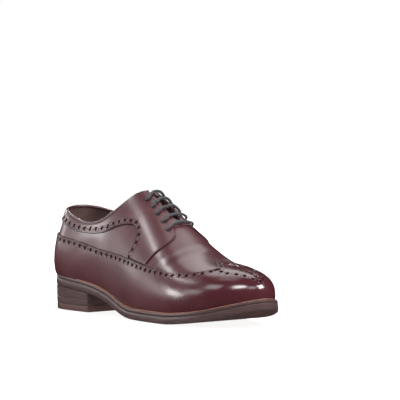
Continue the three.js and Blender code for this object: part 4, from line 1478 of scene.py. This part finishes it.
# Softboxes round the shoe: name, place, width, height, watts
SOFTBOXES = [
    ("side_low", (-1.08, -1.52, 0.48), 0.45, 0.3, 6.8),
    ("side_far", (-1.45, -1.10, 0.30), 0.5, 0.35, 1.0),
    ("back_left", (-1.70, -0.50, 0.40), 0.5, 0.4, 2.8),
    ("back", (-1.60, 0.30, 0.50), 0.5, 0.4, 4.0),
    ("rim", (-1.30, 0.95, 0.30), 0.4, 0.4, 14.0),
    ("side_high", (-1.10, -0.85, 1.35), 0.5, 0.3, 4.8),
    ("left_high", (-1.30, -0.40, 1.20), 0.6, 0.5, 4.0),
    ("behind", (-0.60, 0.48, 1.40), 1.2, 0.9, 7.5),
    ("top", (-0.15, -0.10, 1.75), 0.8, 0.6, 1.8),
    ("fill", (0.10, -1.20, 1.20), 0.6, 0.5, 3.0),
    ("over", (1.10, -0.68, 1.16), 0.6, 0.42, 12.0),
    ("front", (1.40, -0.10, 0.90), 0.5, 0.4, 2.2),
    ("front_right", (1.15, 0.75, 0.85), 0.7, 0.5, 20.0),
    ("near", (-0.50, -1.60, 0.80), 0.6, 0.4, 2.2),
]


FLOOR_RADIUS = 1.6
FLOOR_TONE = (0.07, 0.07, 0.07, 1)
FLOOR_LIGHT = (1, 0.99, 0.985, 1)
FLOOR_GLOW = 0.92


def make_floor():
    """Pale glowing disc under the shoe, left out of its reflections."""
    mesh = bpy.data.meshes.new("floor")
    built = bmesh.new()
    bmesh.ops.create_circle(built, cap_ends=True, segments=96, radius=FLOOR_RADIUS)
    built.to_mesh(mesh)
    built.free()
    floor = bpy.data.objects.new("floor", mesh)
    bpy.context.scene.collection.objects.link(floor)
    floor.location = (0, 0, -0.0002)
    floor.visible_glossy = False
    material, _, shader = new_material("white_floor", Roughness=0.6, Emission_Strength=FLOOR_GLOW)
    shader.inputs["Base Color"].default_value = FLOOR_TONE
    shader.inputs["Emission Color"].default_value = FLOOR_LIGHT
    mesh.materials.append(material)


def make_room():
    """White behind the shoe, and for its light a sky that brightens from the horizon up."""
    world = bpy.data.worlds.new("studio")
    bpy.context.scene.world = world
    world.use_nodes = True
    tree = world.node_tree
    sky = tree.nodes["Background"]
    place = node(tree, "ShaderNodeTexCoord")
    split = node(tree, "ShaderNodeSeparateXYZ")
    tree.links.new(place.outputs["Generated"], split.inputs["Vector"])
    height = spread_range(tree, split.outputs["Z"], 0.05, 0.9, 0.08, 0.5)
    tree.links.new(height, sky.inputs["Strength"])
    white = node(tree, "ShaderNodeBackground", Strength=1.0)
    white.inputs["Color"].default_value = (1, 1, 1, 1)
    rays = node(tree, "ShaderNodeLightPath")
    join = node(tree, "ShaderNodeMixShader")
    tree.links.new(rays.outputs["Is Camera Ray"], join.inputs["Fac"])
    tree.links.new(sky.outputs["Background"], join.inputs[1])
    tree.links.new(white.outputs["Background"], join.inputs[2])
    tree.links.new(join.outputs["Shader"], tree.nodes["World Output"].inputs["Surface"])


make_camera()
make_floor()
make_room()
for softbox_row in SOFTBOXES:
    softbox(*softbox_row)
bpy.context.scene.view_settings.view_transform = "Standard"

CALF = polished_leather()
LINING = plain_leather("lining_calf", (0.13, 0.078, 0.072), (0.18, 0.112, 0.102), 60, 0.55, 0.00005)
SOLE_EDGE = plain_leather("sole_edge", (0.068, 0.037, 0.037), (0.100, 0.058, 0.056), 90, 0.38, 0.00004,
                          stretch=(1, 1, 6), coat=0.12)
TOP_PIECE = plain_leather("top_piece", (0.100, 0.050, 0.044), (0.140, 0.072, 0.062), 90, 0.42, 0.00004,
                          coat=0.15)
RUBBER = plain_leather("rubber", (0.030, 0.028, 0.028), (0.042, 0.040, 0.040), 120, 0.62, 0.00003)
UPPER_THREAD = cord_material("upper_thread", (0.085, 0.022, 0.027), (0.150, 0.050, 0.056), 1400, 0.5)
WELT_THREAD = cord_material("tan_thread", (0.36, 0.105, 0.050), (0.56, 0.215, 0.105), 1200, 0.55)
LACE_YARN = cord_material("waxed_yarn", (0.022, 0.022, 0.026), (0.062, 0.062, 0.070), 900, 0.5)

make_outsole(SOLE_EDGE)
make_welt(SOLE_EDGE)
make_welt_thread(WELT_THREAD)
make_heel_stack(SOLE_EDGE)
make_top_lift("top_lift_leather", "top_lift", TOP_PIECE, breast,
              lambda y: tip_cut(y, GAP / 2))
make_top_lift("top_lift_tip", "top_lift_rubber", RUBBER, lambda y: tip_cut(y, -GAP / 2), None)
make_insole(LINING)
PAIRS = eyelet_places()
make_uppers(CALF, LINING, UPPER_THREAD, PAIRS)
make_bar_tacks(UPPER_THREAD)
make_tongue(CALF)
make_lace(LACE_YARN, PAIRS)
